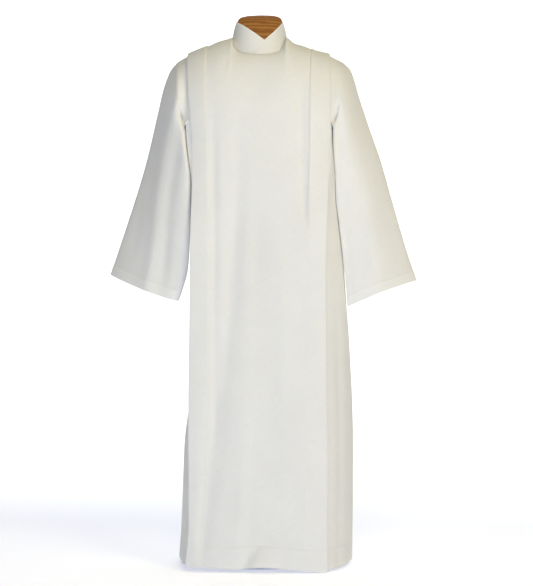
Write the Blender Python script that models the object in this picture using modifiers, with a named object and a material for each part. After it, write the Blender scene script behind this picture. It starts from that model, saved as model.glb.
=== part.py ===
"""A priest's alb: a long bell-sleeved robe with box pleats and a crossed stand collar, on a dress form.

Metres, +Z up, the robe faces -Y and the wearer's left is +X. The origin is the middle of the
stand's flat underside. Every cloth piece is a thin wall: an open sheet with Solidify, worked out
from the station tables below.
"""

from collections import namedtuple
from math import asin, cos, exp, pi, radians, sin

import bmesh
import bpy
from mathutils import Vector

MM = 0.001

# ---- Driving dimensions -------------------------------------------------------------------------

CLOTH = 1.6 * MM  # wall of a single layer of heavy linen
PLEAT_CLOTH = 1.2 * MM  # wall of a pleat strip and of the collar
SEAM_GAP = 0.3 * MM  # what parts two pieces that are sewn together
SHOULDER_GAP = 0.45 * MM  # how far each side of the middle the shoulder seam's edges stop
SEAM_TURN = 1.7 * MM  # the same at the outer points of a seam whose two walls lean together
PLEAT_PROUD = 4.8 * MM  # how far a pleat's face stands above the panel under it
PLEAT_RETURN = 12 * MM  # how far a pleat's edge is turned under
PLEAT_FOLD = 1.35 * MM  # outer radius of that fold
PLEAT_MIDDLE = 150 * MM  # about where the pleats lie, out from the middle
PLEAT_TURN_SHARE = 0.4  # a narrow strip turns under no more than this share of its width

CHEST_HEIGHT = 1200 * MM  # where the cloth starts to round over the shoulders
CHEST_SHARE = 2 / 3  # share of a panel's rows that lie below that height, so rows are a multiple of 3
ROW_POWER = 1.45  # above it the first rows lie closer together, higher is closer
SHOULDER_LIFT = 2.3  # roundness of the shoulder, 2 is an ellipse
NECK_LIFT = 1.3  # the same in front of and behind the neck, where the cloth slopes almost straight
CHEST_SPAN = 285 * MM  # the front and back curve away as if the garment were this wide to each side,
SKIRT_SPAN = 350 * MM  # and this wide from the waist down, where they hang flatter
CHEST_FROM = 1150 * MM
SKIRT_FROM = 900 * MM
FACE_POWER = 4

ARM_EDGE = 184 * MM  # the armhole's edge, out from the middle
ARM_SEAM_TOP = 1209 * MM  # above here a panel reaches the armhole, below it a pleat's seam
ARM_DIP = 35 * MM  # how far the armhole dips at the side,
ARM_DIP_POWER = 4  # and how much of that it keeps for the middle
ARM_STEPS = 24  # points along the armhole over the shoulder, and half as many under the arm
SIDE_POWER = 1.2  # roundness of a side panel, higher bulges more,
ARM_POWER = 4  # and at the armhole, where it stays level with the front before it turns
ARM_POWER_FROM = 980 * MM

NECK_SIDE = 74 * MM  # half the width of the neck seam
NECK_FRONT = 75 * MM
NECK_BACK = 62 * MM
NECK_LOW = 1379 * MM  # height of the neck seam in front, at the side and behind
NECK_HIGH = 1434 * MM
NECK_NAPE = 1445 * MM

# One row for each level of the robe, in millimetres. Pleat columns are the folded edges' distances
# from the middle, side columns are the half widths, and the last two are the depths on the middle line.
Level = namedtuple(
    "Level",
    "height right_out right_in left_in left_out right_side left_side front back",
)
LEVELS = [
    Level(10, 187, 149, 124, 188, 222, 250, 175, 168),
    Level(110, 179, 143, 126, 187, 216, 253, 169, 161),
    Level(240, 179, 136, 130, 188, 211, 255, 163, 153),
    Level(330, 180, 133, 130, 188, 207, 256, 159, 148),
    Level(400, 180, 131, 130, 187, 198, 255, 156, 144),
    Level(470, 180, 129, 131, 185, 187, 253, 153, 141),
    Level(600, 179, 129, 132, 184, 184, 247, 147, 134),
    Level(700, 178, 129, 132, 183, 186, 240, 143, 130),
    Level(800, 178, 129, 133, 183, 187, 233, 139, 126),
    Level(930, 176, 130, 135, 186, 187, 222, 134, 120),
    Level(1050, 174, 131, 137, 190, 191, 212, 131, 115),
    Level(1160, 177, 134, 139, 193, 197, 201, 128, 110),
    Level(1280, 187, 140, 140, 195, 199, 199, 127, 106),
    Level(1380, 193, 141, 141, 191, 199, 199, 127, 106),
]

# The shoulder seam's height at each distance from the middle, on the wearer's right and left.
Shoulder = namedtuple("Shoulder", "out right left")
SHOULDERS = [
    Shoulder(74, 1434, 1434),
    Shoulder(84, 1430, 1426),
    Shoulder(96, 1427, 1416),
    Shoulder(110, 1423, 1412),
    Shoulder(135, 1412, 1403),
    Shoulder(150, 1406, 1395),
    Shoulder(190, 1390, 1385),
    Shoulder(204, 1382, 1379),
]

# The hem's height along the front, by distance from the middle, wearer's right negative.
Hem = namedtuple("Hem", "across height")
HEM_FRONT = [
    Hem(-260, 19),
    Hem(-188, 15),
    Hem(-70, 10),
    Hem(12, 18),
    Hem(90, 10),
    Hem(155, 4),
    Hem(188, 3),
    Hem(260, 10),
]
HEM_BACK_HEIGHT = 15 * MM
HEM_SIDE = 250 * MM  # where that table is read for the middle of a side panel

# Long soft folds: where each starts, passes and ends across the panel, its half width and depth.
# A negative depth is a ridge. Across values count from the middle, wearer's right negative.
Fold = namedtuple("Fold", "top bottom across_top across_mid across_bottom half_width depth")
FRONT_FOLDS = [
    Fold(1300, -50, -30, -66, -136, 26, 9),
    Fold(1180, -50, 17, 17, -10, 20, 7),
    Fold(1320, 300, -118, -114, -112, 12, 5),
    Fold(1340, 900, 119, 119, 126, 12, 6),
    Fold(1000, 100, 60, 74, 84, 34, -5),
    Fold(900, -60, -12, -20, -62, 24, -4),
]
FOLD_START = 0.3  # shares of a fold's length over which it deepens and fades
FOLD_END = 0.12
BACK_FOLDS = [
    Fold(1250, -60, -52, -60, -84, 24, 9),
    Fold(1180, -60, 6, 12, 26, 22, 8),
    Fold(1260, -60, 66, 72, 92, 22, 8),
    Fold(1280, 800, -112, -108, -106, 13, 5),
    Fold(1280, 820, 112, 108, 104, 13, 5),
]
SIDE_WAVES = 2.0  # soft waves round each side panel at the hem
SIDE_WAVE_DEPTH = 6 * MM
SIDE_WAVE_TOP = 900 * MM
SIDE_LEAST = 4 * MM  # least that a side panel stands out beyond its seams

# Sleeve stations, in millimetres: thousandths of the way down from the armhole to the cuff, the outer
# and inner ends of each slanting section, how far its inner end lies forward of its outer end, then how
# far it bulges forward and back between them.
Ring = namedtuple("Ring", "down outer_x outer_z inner_x inner_z skew forward back")
SLEEVE_RIGHT = [
    Ring(0, 222, 1370, 201, 1148, 0, 98, 90),
    Ring(143, 243, 1347, 197, 1122, 30, 84, 86),
    Ring(286, 262, 1301, 192, 1092, 66, 66, 84),
    Ring(429, 281, 1221, 187, 1058, 92, 48, 82),
    Ring(571, 310, 1100, 182, 1002, 100, 36, 78),
    Ring(714, 346, 977, 181, 912, 100, 32, 74),
    Ring(857, 383, 865, 187, 800, 92, 32, 72),
    Ring(1000, 409, 787, 214, 717, 80, 34, 70),
]
SLEEVE_LEFT = [
    Ring(0, 226, 1365, 205, 1146, 0, 98, 90),
    Ring(143, 249, 1342, 203, 1120, 28, 84, 84),
    Ring(286, 271, 1270, 203, 1084, 52, 66, 80),
    Ring(429, 300, 1182, 205, 1036, 62, 52, 76),
    Ring(571, 330, 1097, 209, 980, 62, 44, 73),
    Ring(714, 353, 1015, 217, 920, 58, 40, 70),
    Ring(857, 400, 853, 232, 786, 48, 40, 68),
    Ring(1000, 427, 771, 240, 701, 38, 42, 68),
]
HEAD_POWER = 2.3  # how square a sleeve's section is at its head,
INNER_POWER = {"right": 2.3, "left": 1.6}  # lower down in front, towards the body,
FOLD_POWER = 1.4  # and elsewhere, where 1 would be two flat layers
FOLD_SETTLES = 0.4  # share of the sleeve over which the head's form goes
SLEEVE_CLEAR = 3 * MM  # least that a sleeve stands off the side panel it hangs against
CUFF_DROOP = {"right": 7 * MM, "left": -4 * MM}  # how far the middle of a cuff's edge hangs down
HEAD_OUT = 14 * MM  # the sleeve head's next ring: how far out, how far under the pleats, how far down
HEAD_SUNK = 3 * MM
HEAD_DROP = 9 * MM

# Folds along a sleeve's front: distance out at the top, middle and cuff, half width, depth.
SleeveFold = namedtuple("SleeveFold", "top mid cuff half_width depth")
SLEEVE_RIGHT_FOLDS = [SleeveFold(214, 232, 262, 15, 3), SleeveFold(244, 266, 302, 18, -5)]
SLEEVE_LEFT_FOLDS = [SleeveFold(230, 234, 242, 14, 3), SleeveFold(252, 284, 330, 24, -4)]
SLEEVE_BACK_DEPTH = 0.8  # the same folds behind, this much as deep
SLEEVE_FOLD_START = 0.25  # share of the sleeve over which its folds deepen

COLLAR_TOP_SIDE = 64 * MM  # half width, front and back reach of the collar's upper edge
COLLAR_TOP_FRONT = 67 * MM
COLLAR_TOP_BACK = 59 * MM
COLLAR_TOP_Z = 1475 * MM
COLLAR_NAPE_Z = 1490 * MM
COLLAR_INSIDE = 1.3 * MM  # how far inside the neck seam the collar's foot stands, and how far above it
COLLAR_RISE = 0.6 * MM
CROSSING = (17 * MM, 1419 * MM)  # where the two ends cross, across and up
LAPPED_CURVE = 0.75  # the lapped end's upper edge is hollow, 1 is straight
UNDER_END = 45 * MM  # how far across the under end runs
OVER_END = -17 * MM  # how far across the lapped end runs
COLLAR_LAP = 2.6 * MM  # how much further out the lapped end lies
LAP_START = 0.12  # shares of the collar's length: where the lap starts to lead outwards, and over how much
LAP_EASE = 0.18
COLLAR_LEAST = 4 * MM  # least height of the collar's wall

# The dress form, in millimetres: a row for each level of its torso.
Torso = namedtuple("Torso", "height half_width front back")
TORSO = [
    Torso(800, 138, 84, 84),
    Torso(806, 146, 92, 90),
    Torso(860, 152, 98, 94),
    Torso(950, 142, 92, 86),
    Torso(1050, 140, 94, 84),
    Torso(1150, 152, 104, 90),
    Torso(1250, 166, 106, 88),
    Torso(1320, 172, 92, 80),
    Torso(1358, 166, 74, 68),
    Torso(1378, 142, 52, 52),
    Torso(1389, 102, 40, 42),
    Torso(1394, 64, 38, 42),
    Torso(1397, 55, 44, 44),
]
TORSO_POWER = 2.3
CAP_FOOT = 1397.3 * MM
CAP_HALF_WIDTH = 61.5 * MM
CAP_HALF_DEPTH = 55 * MM
CAP_RIM_HEIGHT = 1476 * MM  # at the sides
CAP_LEAN = 0.80  # the top slopes down to the front this much,
CAP_BEND = -5.6  # and bends down towards the front and back, per metre
CAP_SIDES = 36
CapStep = namedtuple("CapStep", "inset lift")  # rings over the rim and up the dome
CAP_STEPS = [
    CapStep(0.6, -5),
    CapStep(0, -3),
    CapStep(0, -1),
    CapStep(1, 0),
    CapStep(14, 2),
    CapStep(34, 3.4),
    CapStep(54, 4),
]
CAP_FOOT_INSET = 8  # how much smaller the cap's foot is all round, in millimetres
POLE_RADIUS = 12.5 * MM
BASE_RADIUS = 125 * MM
BASE_HEIGHT = 6 * MM
BASE_BEVEL = 1.5 * MM


# ---- Small helpers ------------------------------------------------------------------------------


def clamp(value, low=0.0, high=1.0):
    return max(low, min(high, value))


def mix(a, b, share):
    return a + (b - a) * share


def ease(value):
    value = clamp(value)
    return value * value * (3 - 2 * value)


def read(rows, key, column, at):
    """A column of a table, in metres, read on a smooth curve through its rows at the key's value."""
    keys = [getattr(row, key) * MM for row in rows]
    values = [getattr(row, column) * MM for row in rows]
    at = clamp(at, keys[0], keys[-1])
    i = max(n for n in range(len(keys) - 1) if keys[n] <= at)
    step = keys[i + 1] - keys[i]
    slope = (values[i + 1] - values[i]) / step

    def tangent(n):
        if n == 0 or n == len(keys) - 1:
            return slope
        before = (values[n] - values[n - 1]) / (keys[n] - keys[n - 1])
        after = (values[n + 1] - values[n]) / (keys[n + 1] - keys[n])
        return 0.0 if before * after <= 0 else 2 * before * after / (before + after)

    t = (at - keys[i]) / step
    start, end = tangent(i) * step, tangent(i + 1) * step
    return (
        values[i] * (2 * t**3 - 3 * t**2 + 1)
        + start * (t**3 - 2 * t**2 + t)
        + values[i + 1] * (3 * t**2 - 2 * t**3)
        + end * (t**3 - t**2)
    )


def through(first, middle, last, share):
    """A value that runs smoothly from first by middle to last."""
    return (
        first * (1 - share) * (1 - 2 * share)
        + middle * 4 * share * (1 - share)
        + last * share * (2 * share - 1)
    )


def resample(points, count):
    """The same line as count + 1 evenly spaced points."""
    lengths = [0.0]
    for a, b in zip(points, points[1:]):
        lengths.append(lengths[-1] + (b - a).length)
    even = []
    for n in range(count + 1):
        at = lengths[-1] * n / count
        i = max(k for k in range(len(points) - 1) if lengths[k] <= at + 1e-12)
        share = (at - lengths[i]) / (lengths[i + 1] - lengths[i])
        even.append(points[i].lerp(points[i + 1], clamp(share)))
    return even


# ---- The robe's form ----------------------------------------------------------------------------


def level(column, height):
    return read(LEVELS, "height", column, height)


def fold_depth(folds, across, height):
    """How far the long folds push the cloth inwards at a place on the front or back."""
    depth = 0.0
    for fold in folds:
        share = (fold.top * MM - height) / ((fold.top - fold.bottom) * MM)
        if not 0 < share < 1:
            continue
        path = through(fold.across_top, fold.across_mid, fold.across_bottom, share) * MM
        fade = ease(share / FOLD_START) * ease((1 - share) / FOLD_END)
        depth += fold.depth * MM * fade * exp(-(((across - path) / (fold.half_width * MM)) ** 2))
    return depth


def hem_height(across, facing):
    if facing > 0:
        return HEM_BACK_HEIGHT
    return read(HEM_FRONT, "across", "height", across)


def neck_seam(turn):
    """A point of the neck seam, turn 0 in front, 90 at the wearer's left, 180 behind."""
    depth = NECK_FRONT if cos(turn) > 0 else NECK_BACK
    if cos(turn) > 0:
        height = mix(NECK_HIGH, NECK_LOW, 1 - (1 - cos(turn)) ** 1.4)
    else:
        height = mix(NECK_HIGH, NECK_NAPE, -cos(turn))
    return Vector((NECK_SIDE * sin(turn), -depth * cos(turn), height))


def face_round(across, height):
    """The share of its depth that the front or back keeps at a distance from the middle."""
    chest = ease((height - SKIRT_FROM) / (CHEST_FROM - SKIRT_FROM))
    return 1 - (abs(across) / mix(SKIRT_SPAN, CHEST_SPAN, chest)) ** FACE_POWER


def top_point(across, facing):
    """Where a column of the front (facing -1) or back (+1) ends: on the neck or shoulder seam."""
    if abs(across) < NECK_SIDE:
        share = across / NECK_SIDE
        turn = pi / 2 - abs(pi / 2 - abs(asin(share)))
        turn = turn if facing < 0 else pi - turn
        seam = neck_seam(turn)
        return Vector((across, facing * max(abs(seam.y), SHOULDER_GAP), seam.z))
    side = "left" if across > 0 else "right"
    height = read(SHOULDERS, "out", side, abs(across))
    return Vector((across, facing * SHOULDER_GAP, height))


def row_height(across, share, facing):
    """The height at a share of the way up a column."""
    low = hem_height(across, facing)
    if share <= CHEST_SHARE:
        return mix(low, CHEST_HEIGHT, share / CHEST_SHARE)
    rise = sin(((share - CHEST_SHARE) / (1 - CHEST_SHARE)) ** ROW_POWER * pi / 2)
    return mix(CHEST_HEIGHT, top_point(across, facing).z, rise)


def face_point(across, share, facing):
    """A point of the front or back, at a distance from the middle and a share of the way up."""
    height = row_height(across, share, facing)
    depth = level("front" if facing < 0 else "back", height)
    body = depth * face_round(across, height)
    folds = fold_depth(FRONT_FOLDS if facing < 0 else BACK_FOLDS, across, height)
    if share > CHEST_SHARE:
        top = top_point(across, facing)
        rise = (height - CHEST_HEIGHT) / (top.z - CHEST_HEIGHT)
        lift = mix(NECK_LIFT, SHOULDER_LIFT, ease((abs(across) / NECK_SIDE - 0.3) / 0.65))
        reach = (1 - clamp(rise) ** lift) ** (1 / lift)
        body = abs(top.y) + (body - abs(top.y)) * reach
        folds *= reach
    return Vector((across, facing * (body - folds), height))


def face_normal(across, share, facing):
    """The outward direction of the front or back at that point."""
    step = 2 * MM  # across, and the same share of the way up
    up_share = min(share + step, 1.0)
    down_share = max(share - step, 0.0)
    up = face_point(across, up_share, facing) - face_point(across, down_share, facing)
    right = face_point(across + step, share, facing) - face_point(across - step, share, facing)
    normal = right.cross(up)
    normal = normal if facing < 0 else -normal
    return normal.normalized()


def nominal_height(share, facing):
    """A row's height where the pleats lie."""
    return row_height(PLEAT_MIDDLE, share, facing)


def pleat_seam(side, height):
    """The distance from the middle of the seam under a pleat."""
    return (level(side + "_in", height) + level(side + "_out", height)) / 2


def panel_edge(side, share, facing):
    """A face panel's edge: the seam under the pleat, and the armhole above it."""
    height = nominal_height(share, facing)
    seam = pleat_seam(side, height)
    return mix(seam, ARM_EDGE, ease((height - CHEST_HEIGHT) / (ARM_SEAM_TOP - CHEST_HEIGHT)))


def side_top(around):
    """The height of a side panel's upper edge, around from 0 in front to 1 behind."""
    return CHEST_HEIGHT - SEAM_GAP - ARM_DIP * sin(pi * around) ** ARM_DIP_POWER


def side_section(side, height):
    """A side panel's level section: its seam, its width beyond it, the middle and half of its depth."""
    seam = pleat_seam(side, height) + SEAM_TURN
    body = face_round(seam, height)
    front, back = -level("front", height) * body, level("back", height) * body
    wide = max(level(side + "_side", height) - seam, SIDE_LEAST)
    return seam, wide, (front + back) / 2, (back - front) / 2


def side_power(height):
    share = (height - ARM_POWER_FROM) / (CHEST_HEIGHT - ARM_POWER_FROM)
    return mix(SIDE_POWER, ARM_POWER, ease(share))


def side_point(side, around, share):
    """A point of a side panel: around from its front seam, 0, to its back seam, 1."""
    facing = -1 if around < 0.5 else 1
    sign = 1 if side == "left" else -1
    seam_hem = hem_height(sign * pleat_seam(side, 0), facing)
    low = mix(seam_hem, hem_height(sign * HEM_SIDE, -1), sin(pi * around))
    height = mix(low, side_top(around), share)
    seam, wide, middle, half = side_section(side, height)
    reach = sin(pi * around)
    wave = sin(SIDE_WAVES * 2 * pi * around) * reach * ease(1 - height / SIDE_WAVE_TOP)
    out = seam + wide * reach + wave * SIDE_WAVE_DEPTH
    face = level("front" if facing < 0 else "back", height) * face_round(out, height)
    deep = min(half * (1 - reach ** side_power(height)) ** 0.5, face - facing * middle)
    return Vector((sign * out, middle + facing * deep, height))


def beside(side, point):
    """The least distance out from the middle that keeps a sleeve's point clear of the side panel."""
    seam, wide, middle, half = side_section(side, point.z)
    deep = clamp(abs(point.y - middle) / half)
    return seam + wide * (1 - deep**2) ** (1 / side_power(point.z)) + SLEEVE_CLEAR


# ---- Making objects -----------------------------------------------------------------------------


def material(name, colour, roughness, metallic=0.0):
    made = bpy.data.materials.new(name)
    made.use_nodes = True
    shader = made.node_tree.nodes["Principled BSDF"]
    shader.inputs["Base Color"].default_value = (*colour, 1.0)
    shader.inputs["Roughness"].default_value = roughness
    shader.inputs["Metallic"].default_value = metallic
    return made


def object_from(name, bm, finish, smooth=True):
    mesh = bpy.data.meshes.new(name)
    bm.to_mesh(mesh)
    bm.free()
    made = bpy.data.objects.new(name, mesh)
    mesh.materials.append(finish)
    if smooth:
        mesh.shade_smooth()
        mesh.set_sharp_from_angle(angle=radians(40))
    PARTS.objects.link(made)
    return made


def cloth(name, rows, finish, wall, closed=False, inside_out=False):
    """A wall of cloth through rows of points: an open sheet, thickened inwards."""
    bm = bmesh.new()
    grid = [[bm.verts.new(point) for point in row] for row in rows]
    columns = len(rows[0])
    for low, high in zip(grid, grid[1:]):
        for n in range(columns if closed else columns - 1):
            after = (n + 1) % columns
            corners = [low[n], low[after], high[after], high[n]]
            bm.faces.new(corners[::-1] if inside_out else corners)
    made = object_from(name, bm, finish)
    shell = made.modifiers.new("wall", "SOLIDIFY")
    shell.thickness = wall
    shell.offset = -1
    shell.use_even_offset = False
    return made


def closed_loft(name, rings, finish):
    """A solid through rings of points, with flat ends."""
    bm = bmesh.new()
    grid = [[bm.verts.new(point) for point in ring] for ring in rings]
    count = len(rings[0])
    for low, high in zip(grid, grid[1:]):
        for n in range(count):
            after = (n + 1) % count
            bm.faces.new([low[n], low[after], high[after], high[n]])
    bm.faces.new(grid[0][::-1])
    bm.faces.new(grid[-1])
    return object_from(name, bm, finish)


def oval(centre, half_width, front, back, power, count):
    """A level ring, wider at the back or front as asked, running anticlockwise from the left."""
    points = []
    for n in range(count):
        turn = 2 * pi * n / count
        x = half_width * abs(cos(turn)) ** (2 / power) * (1 if cos(turn) >= 0 else -1)
        depth = back if sin(turn) >= 0 else front
        y = depth * abs(sin(turn)) ** (2 / power) * (1 if sin(turn) >= 0 else -1)
        points.append(centre + Vector((x, y, 0)))
    return points


# ---- The robe's pieces --------------------------------------------------------------------------


def face_panel(name, facing, columns, rows, finish):
    """The front or back, from pleat seam to pleat seam and from hem to neck and shoulders."""
    grid = []
    for j in range(rows + 1):
        share = j / rows
        left = panel_edge("left", share, facing)
        right = -panel_edge("right", share, facing)
        row = [face_point(mix(right, left, i / columns), share, facing) for i in range(columns + 1)]
        grid.append(row)
    return cloth(name, grid, finish, CLOTH, inside_out=facing > 0)


def fold_round(middle, degrees):
    """A point on the rounded edge of a pleat: how far across, and how far above the panel."""
    turn = radians(degrees)
    return middle + PLEAT_FOLD * cos(turn), PLEAT_PROUD - PLEAT_FOLD + PLEAT_FOLD * sin(turn)


def pleat(name, side, facing, rows, finish):
    """A box-pleat strip: its face, its two rounded edges and what is turned under behind them."""
    sign = 1 if side == "left" else -1
    grid = []
    for j in range(rows + 1):
        share = j / rows
        height = nominal_height(share, facing)
        inner, outer = level(side + "_in", height), level(side + "_out", height)
        turned = min(PLEAT_RETURN, PLEAT_TURN_SHARE * (outer - inner))
        profile = [(inner + turned, PLEAT_PROUD - 2 * PLEAT_FOLD)]
        for turn in (-90, -180, -270):
            profile.append(fold_round(inner + PLEAT_FOLD, turn))
        profile.append(((inner + outer) / 2, PLEAT_PROUD))
        for turn in (90, 0, -90):
            profile.append(fold_round(outer - PLEAT_FOLD, turn))
        profile.append((outer - turned, PLEAT_PROUD - 2 * PLEAT_FOLD))
        row = []
        for across, proud in profile:
            base = face_point(sign * across, share, facing)
            row.append(base + face_normal(sign * across, share, facing) * proud)
        grid.append(row)
    return cloth(name, grid, finish, PLEAT_CLOTH, inside_out=sign * facing > 0)


def side_panel(name, side, columns, rows, finish):
    grid = []
    for j in range(rows + 1):
        grid.append([side_point(side, i / columns, j / rows) for i in range(columns + 1)])
    return cloth(name, grid, finish, CLOTH, inside_out=side == "right")


def armhole(side, count, out, sunk, drop):
    """A ring at the armhole: from the shoulder down the front, under the arm and up the back.

    It lies out from the armhole's edge, sunk below the robe's own surface, and drop lower at the
    bottom, so the first ring is the seam and the next one passes under the pleats' edges.
    """
    sign = 1 if side == "left" else -1
    across = sign * (ARM_EDGE + out)
    under_count = count // 6
    halves = []
    for facing in (-1, 1):
        line = []
        for n in range(ARM_STEPS + 1):
            share = 1 - (1 - CHEST_SHARE) * n / ARM_STEPS
            line.append(face_point(across, share, facing) - face_normal(across, share, facing) * sunk)
        line[0].y = 0
        under = [line[-1] + Vector((0, 0, -drop))]
        for n in range(1, ARM_STEPS // 2 + 1):
            around = n / ARM_STEPS if facing < 0 else 1 - n / ARM_STEPS
            point = side_point(side, around, 1) + Vector((sign * out / 2, 0, 2 * SEAM_GAP - drop))
            if abs(point.x) > abs(across):
                under.append(point)
        line[-1] = under[0]
        halves.append(resample(line, count // 2 - under_count) + resample(under, under_count)[1:])
    front, back = halves
    return front + back[-2:0:-1]


def sleeve_fold(folds, across, down):
    depth = 0.0
    for fold in folds:
        path = through(fold.top, fold.mid, fold.cuff, down) * MM
        depth += fold.depth * MM * exp(-(((across - path) / (fold.half_width * MM)) ** 2))
    return depth * ease(down / SLEEVE_FOLD_START)


def sleeve_ring(side, rows, folds, down, count):
    """One slanting section of a sleeve, down from 0 at the first station to 1 at the cuff."""
    sign = 1 if side == "left" else -1

    def value(column):
        return read(rows, "down", column, down)

    outer = Vector((value("outer_x"), 0, value("outer_z")))
    inner = Vector((value("inner_x"), 0, value("inner_z")))
    middle, half = (outer + inner) / 2, (outer - inner) / 2
    settled = ease(down / FOLD_SETTLES)
    inner_power = mix(HEAD_POWER, INNER_POWER[side], settled)
    fold_power = mix(HEAD_POWER, FOLD_POWER, settled)
    ring = []
    for n in range(count):
        turn = 2 * pi * n / count
        outwards, forward = cos(turn) >= 0, sin(turn) >= 0
        power = fold_power if outwards or not forward else inner_power
        along = abs(cos(turn)) ** (2 / power) * (1 if outwards else -1)
        deep = abs(sin(turn)) ** (2 / power)
        point = middle + half * along
        fold = sleeve_fold(folds, point.x, down) * deep * (1 if forward else SLEEVE_BACK_DEPTH)
        bulge = value("forward" if forward else "back") * deep - fold
        point.y = (-bulge if forward else bulge) - value("skew") * (1 - along) / 2
        point.z -= CUFF_DROOP[side] * deep * down**3
        if point.z < CHEST_HEIGHT - ARM_DIP:
            point.x = max(point.x, beside(side, point))
        ring.append(Vector((sign * point.x, point.y, point.z)))
    return ring


def sleeve(name, side, rows, folds, finish, count=24, rings=14):
    grid = [armhole(side, count, SEAM_TURN, 0, 0)]
    grid.append(armhole(side, count, HEAD_OUT, HEAD_SUNK, HEAD_DROP))
    for n in range(rings + 1):
        grid.append(sleeve_ring(side, rows, folds, n / rings, count))
    return cloth(name, grid, finish, CLOTH, closed=True, inside_out=side == "right")


def collar_top(across, lapped):
    """The height of the collar's slanting upper edge in front of the neck's sides."""
    cross_x, cross_z = CROSSING
    start = COLLAR_TOP_SIDE if lapped else -COLLAR_TOP_SIDE
    share = (across - start) / (cross_x - start)
    return mix(COLLAR_TOP_Z, cross_z, share ** (LAPPED_CURVE if lapped else 1))


def collar(name, columns, rows, finish):
    """The stand collar: a band once round the neck and past itself, its lapped end outermost."""
    under = asin(UNDER_END / COLLAR_TOP_SIDE)
    over = -2 * pi + asin(OVER_END / COLLAR_TOP_SIDE)
    grid = [[] for _ in range(rows + 1)]
    for i in range(columns + 1):
        share = i / columns
        turn = mix(under, over, share)
        lap = COLLAR_LAP * ease((share - LAP_START) / LAP_EASE)
        base = neck_seam(abs((turn + pi) % (2 * pi) - pi))
        base.x = NECK_SIDE * sin(turn)
        outward = Vector((sin(turn), -cos(turn), 0))
        base += outward * (lap - COLLAR_LAP - COLLAR_INSIDE) + Vector((0, 0, COLLAR_RISE))
        depth = COLLAR_TOP_FRONT if cos(turn) > 0 else COLLAR_TOP_BACK
        top = Vector((COLLAR_TOP_SIDE * sin(turn), -depth * cos(turn), 0))
        top += outward * (lap - COLLAR_LAP)
        if cos(turn) > 0:
            top.z = collar_top(COLLAR_TOP_SIDE * sin(turn), lapped=share > 0.5)
        else:
            top.z = mix(COLLAR_TOP_Z, COLLAR_NAPE_Z, -cos(turn))
        top.z = max(top.z, base.z + COLLAR_LEAST)
        for j in range(rows + 1):
            point = base.lerp(top, j / rows)
            curve = (j / rows) ** 2
            grid[j].append(Vector((mix(base.x, top.x, curve), mix(base.y, top.y, curve), point.z)))
    return cloth(name, grid, finish, PLEAT_CLOTH, inside_out=True)


# ---- The dress form and its stand ---------------------------------------------------------------


def torso(name, finish):
    rings = []
    for row in TORSO:
        centre = Vector((0, 0, row.height * MM))
        sizes = (row.half_width * MM, row.front * MM, row.back * MM)
        rings.append(oval(centre, *sizes, TORSO_POWER, 28))
    return closed_loft(name, rings, finish)


def neck_cap(name, finish):
    """A wooden block in the neck: a flat foot, an upright side and a domed top that leans forward."""

    def ring(inset, height):
        shrink = 1 - inset * MM / CAP_HALF_WIDTH
        depth = CAP_HALF_DEPTH * shrink
        return oval(Vector((0, 0, height)), CAP_HALF_WIDTH * shrink, depth, depth, 2, CAP_SIDES)

    rings = [ring(CAP_FOOT_INSET, CAP_FOOT)]
    for step in CAP_STEPS:
        points = ring(step.inset, CAP_RIM_HEIGHT)
        for point in points:
            point.z += CAP_LEAN * point.y + CAP_BEND * point.y**2 + step.lift * MM
        rings.append(points)
    return closed_loft(name, rings, finish)


def cylinder(name, radius, low, high, finish, segments, bevel=0.0):
    bm = bmesh.new()
    bmesh.ops.create_cone(
        bm, cap_ends=True, segments=segments, radius1=radius, radius2=radius, depth=high - low
    )
    bmesh.ops.translate(bm, verts=bm.verts, vec=(0, 0, (low + high) / 2))
    made = object_from(name, bm, finish)
    if bevel:
        rounding = made.modifiers.new("edge", "BEVEL")
        rounding.width = bevel
        rounding.segments = 2
        rounding.limit_method = "ANGLE"
    return made


def build():
    linen = material("linen", (0.78, 0.76, 0.69), 0.9)
    form_cover = material("form_cover", (0.66, 0.6, 0.5), 0.85)
    wood = material("wood", (0.33, 0.15, 0.06), 0.45)
    paint = material("stand_paint", (0.8, 0.8, 0.78), 0.4, 0.1)

    face_panel("front_panel", -1, 18, 24, linen)
    face_panel("back_panel", 1, 16, 24, linen)
    for side in ("left", "right"):
        side_panel("side_" + side, side, 12, 16, linen)
        pleat("pleat_front_" + side, side, -1, 24, linen)
        pleat("pleat_back_" + side, side, 1, 24, linen)
    sleeve("sleeve_left", "left", SLEEVE_LEFT, SLEEVE_LEFT_FOLDS, linen)
    sleeve("sleeve_right", "right", SLEEVE_RIGHT, SLEEVE_RIGHT_FOLDS, linen)
    collar("collar", 40, 3, linen)

    torso("form_torso", form_cover)
    neck_cap("form_neck_cap", wood)
    pole_top = TORSO[0].height * MM - SEAM_GAP
    cylinder("stand_pole", POLE_RADIUS, BASE_HEIGHT + SEAM_GAP, pole_top, paint, 20)
    cylinder("stand_base", BASE_RADIUS, 0, BASE_HEIGHT, paint, 48, BASE_BEVEL)


for old in list(bpy.data.objects):
    bpy.data.objects.remove(old)
PARTS = bpy.data.collections.new("alb_robe")
bpy.context.scene.collection.children.link(PARTS)
build()
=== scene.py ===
# %% [markdown]
# # An alb on a dress form
#
# An alb is the plain white robe worn for church services. This one is sewn from a heavy,
# linen-like cloth: a front and a back, two side panels, four box-pleat strips that run from the
# shoulders to the hem, two bell sleeves and a stand collar whose ends cross in a V. It stands on
# a limbless dress form with a wooden neck cap, on a pole with a round foot.
#
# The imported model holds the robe's form as plain solids. This script dresses it: each piece of
# cloth is worked out again from nearly the same sizes, but finely enough to carry hems, creases
# and seams, and then it gets its weave. The stitches are laid along the seams by Geometry Nodes.

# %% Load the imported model
from collections import namedtuple
from math import asin, cos, pi, radians, sin

import bpy
import numpy as np
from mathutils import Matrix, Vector, noise


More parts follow.
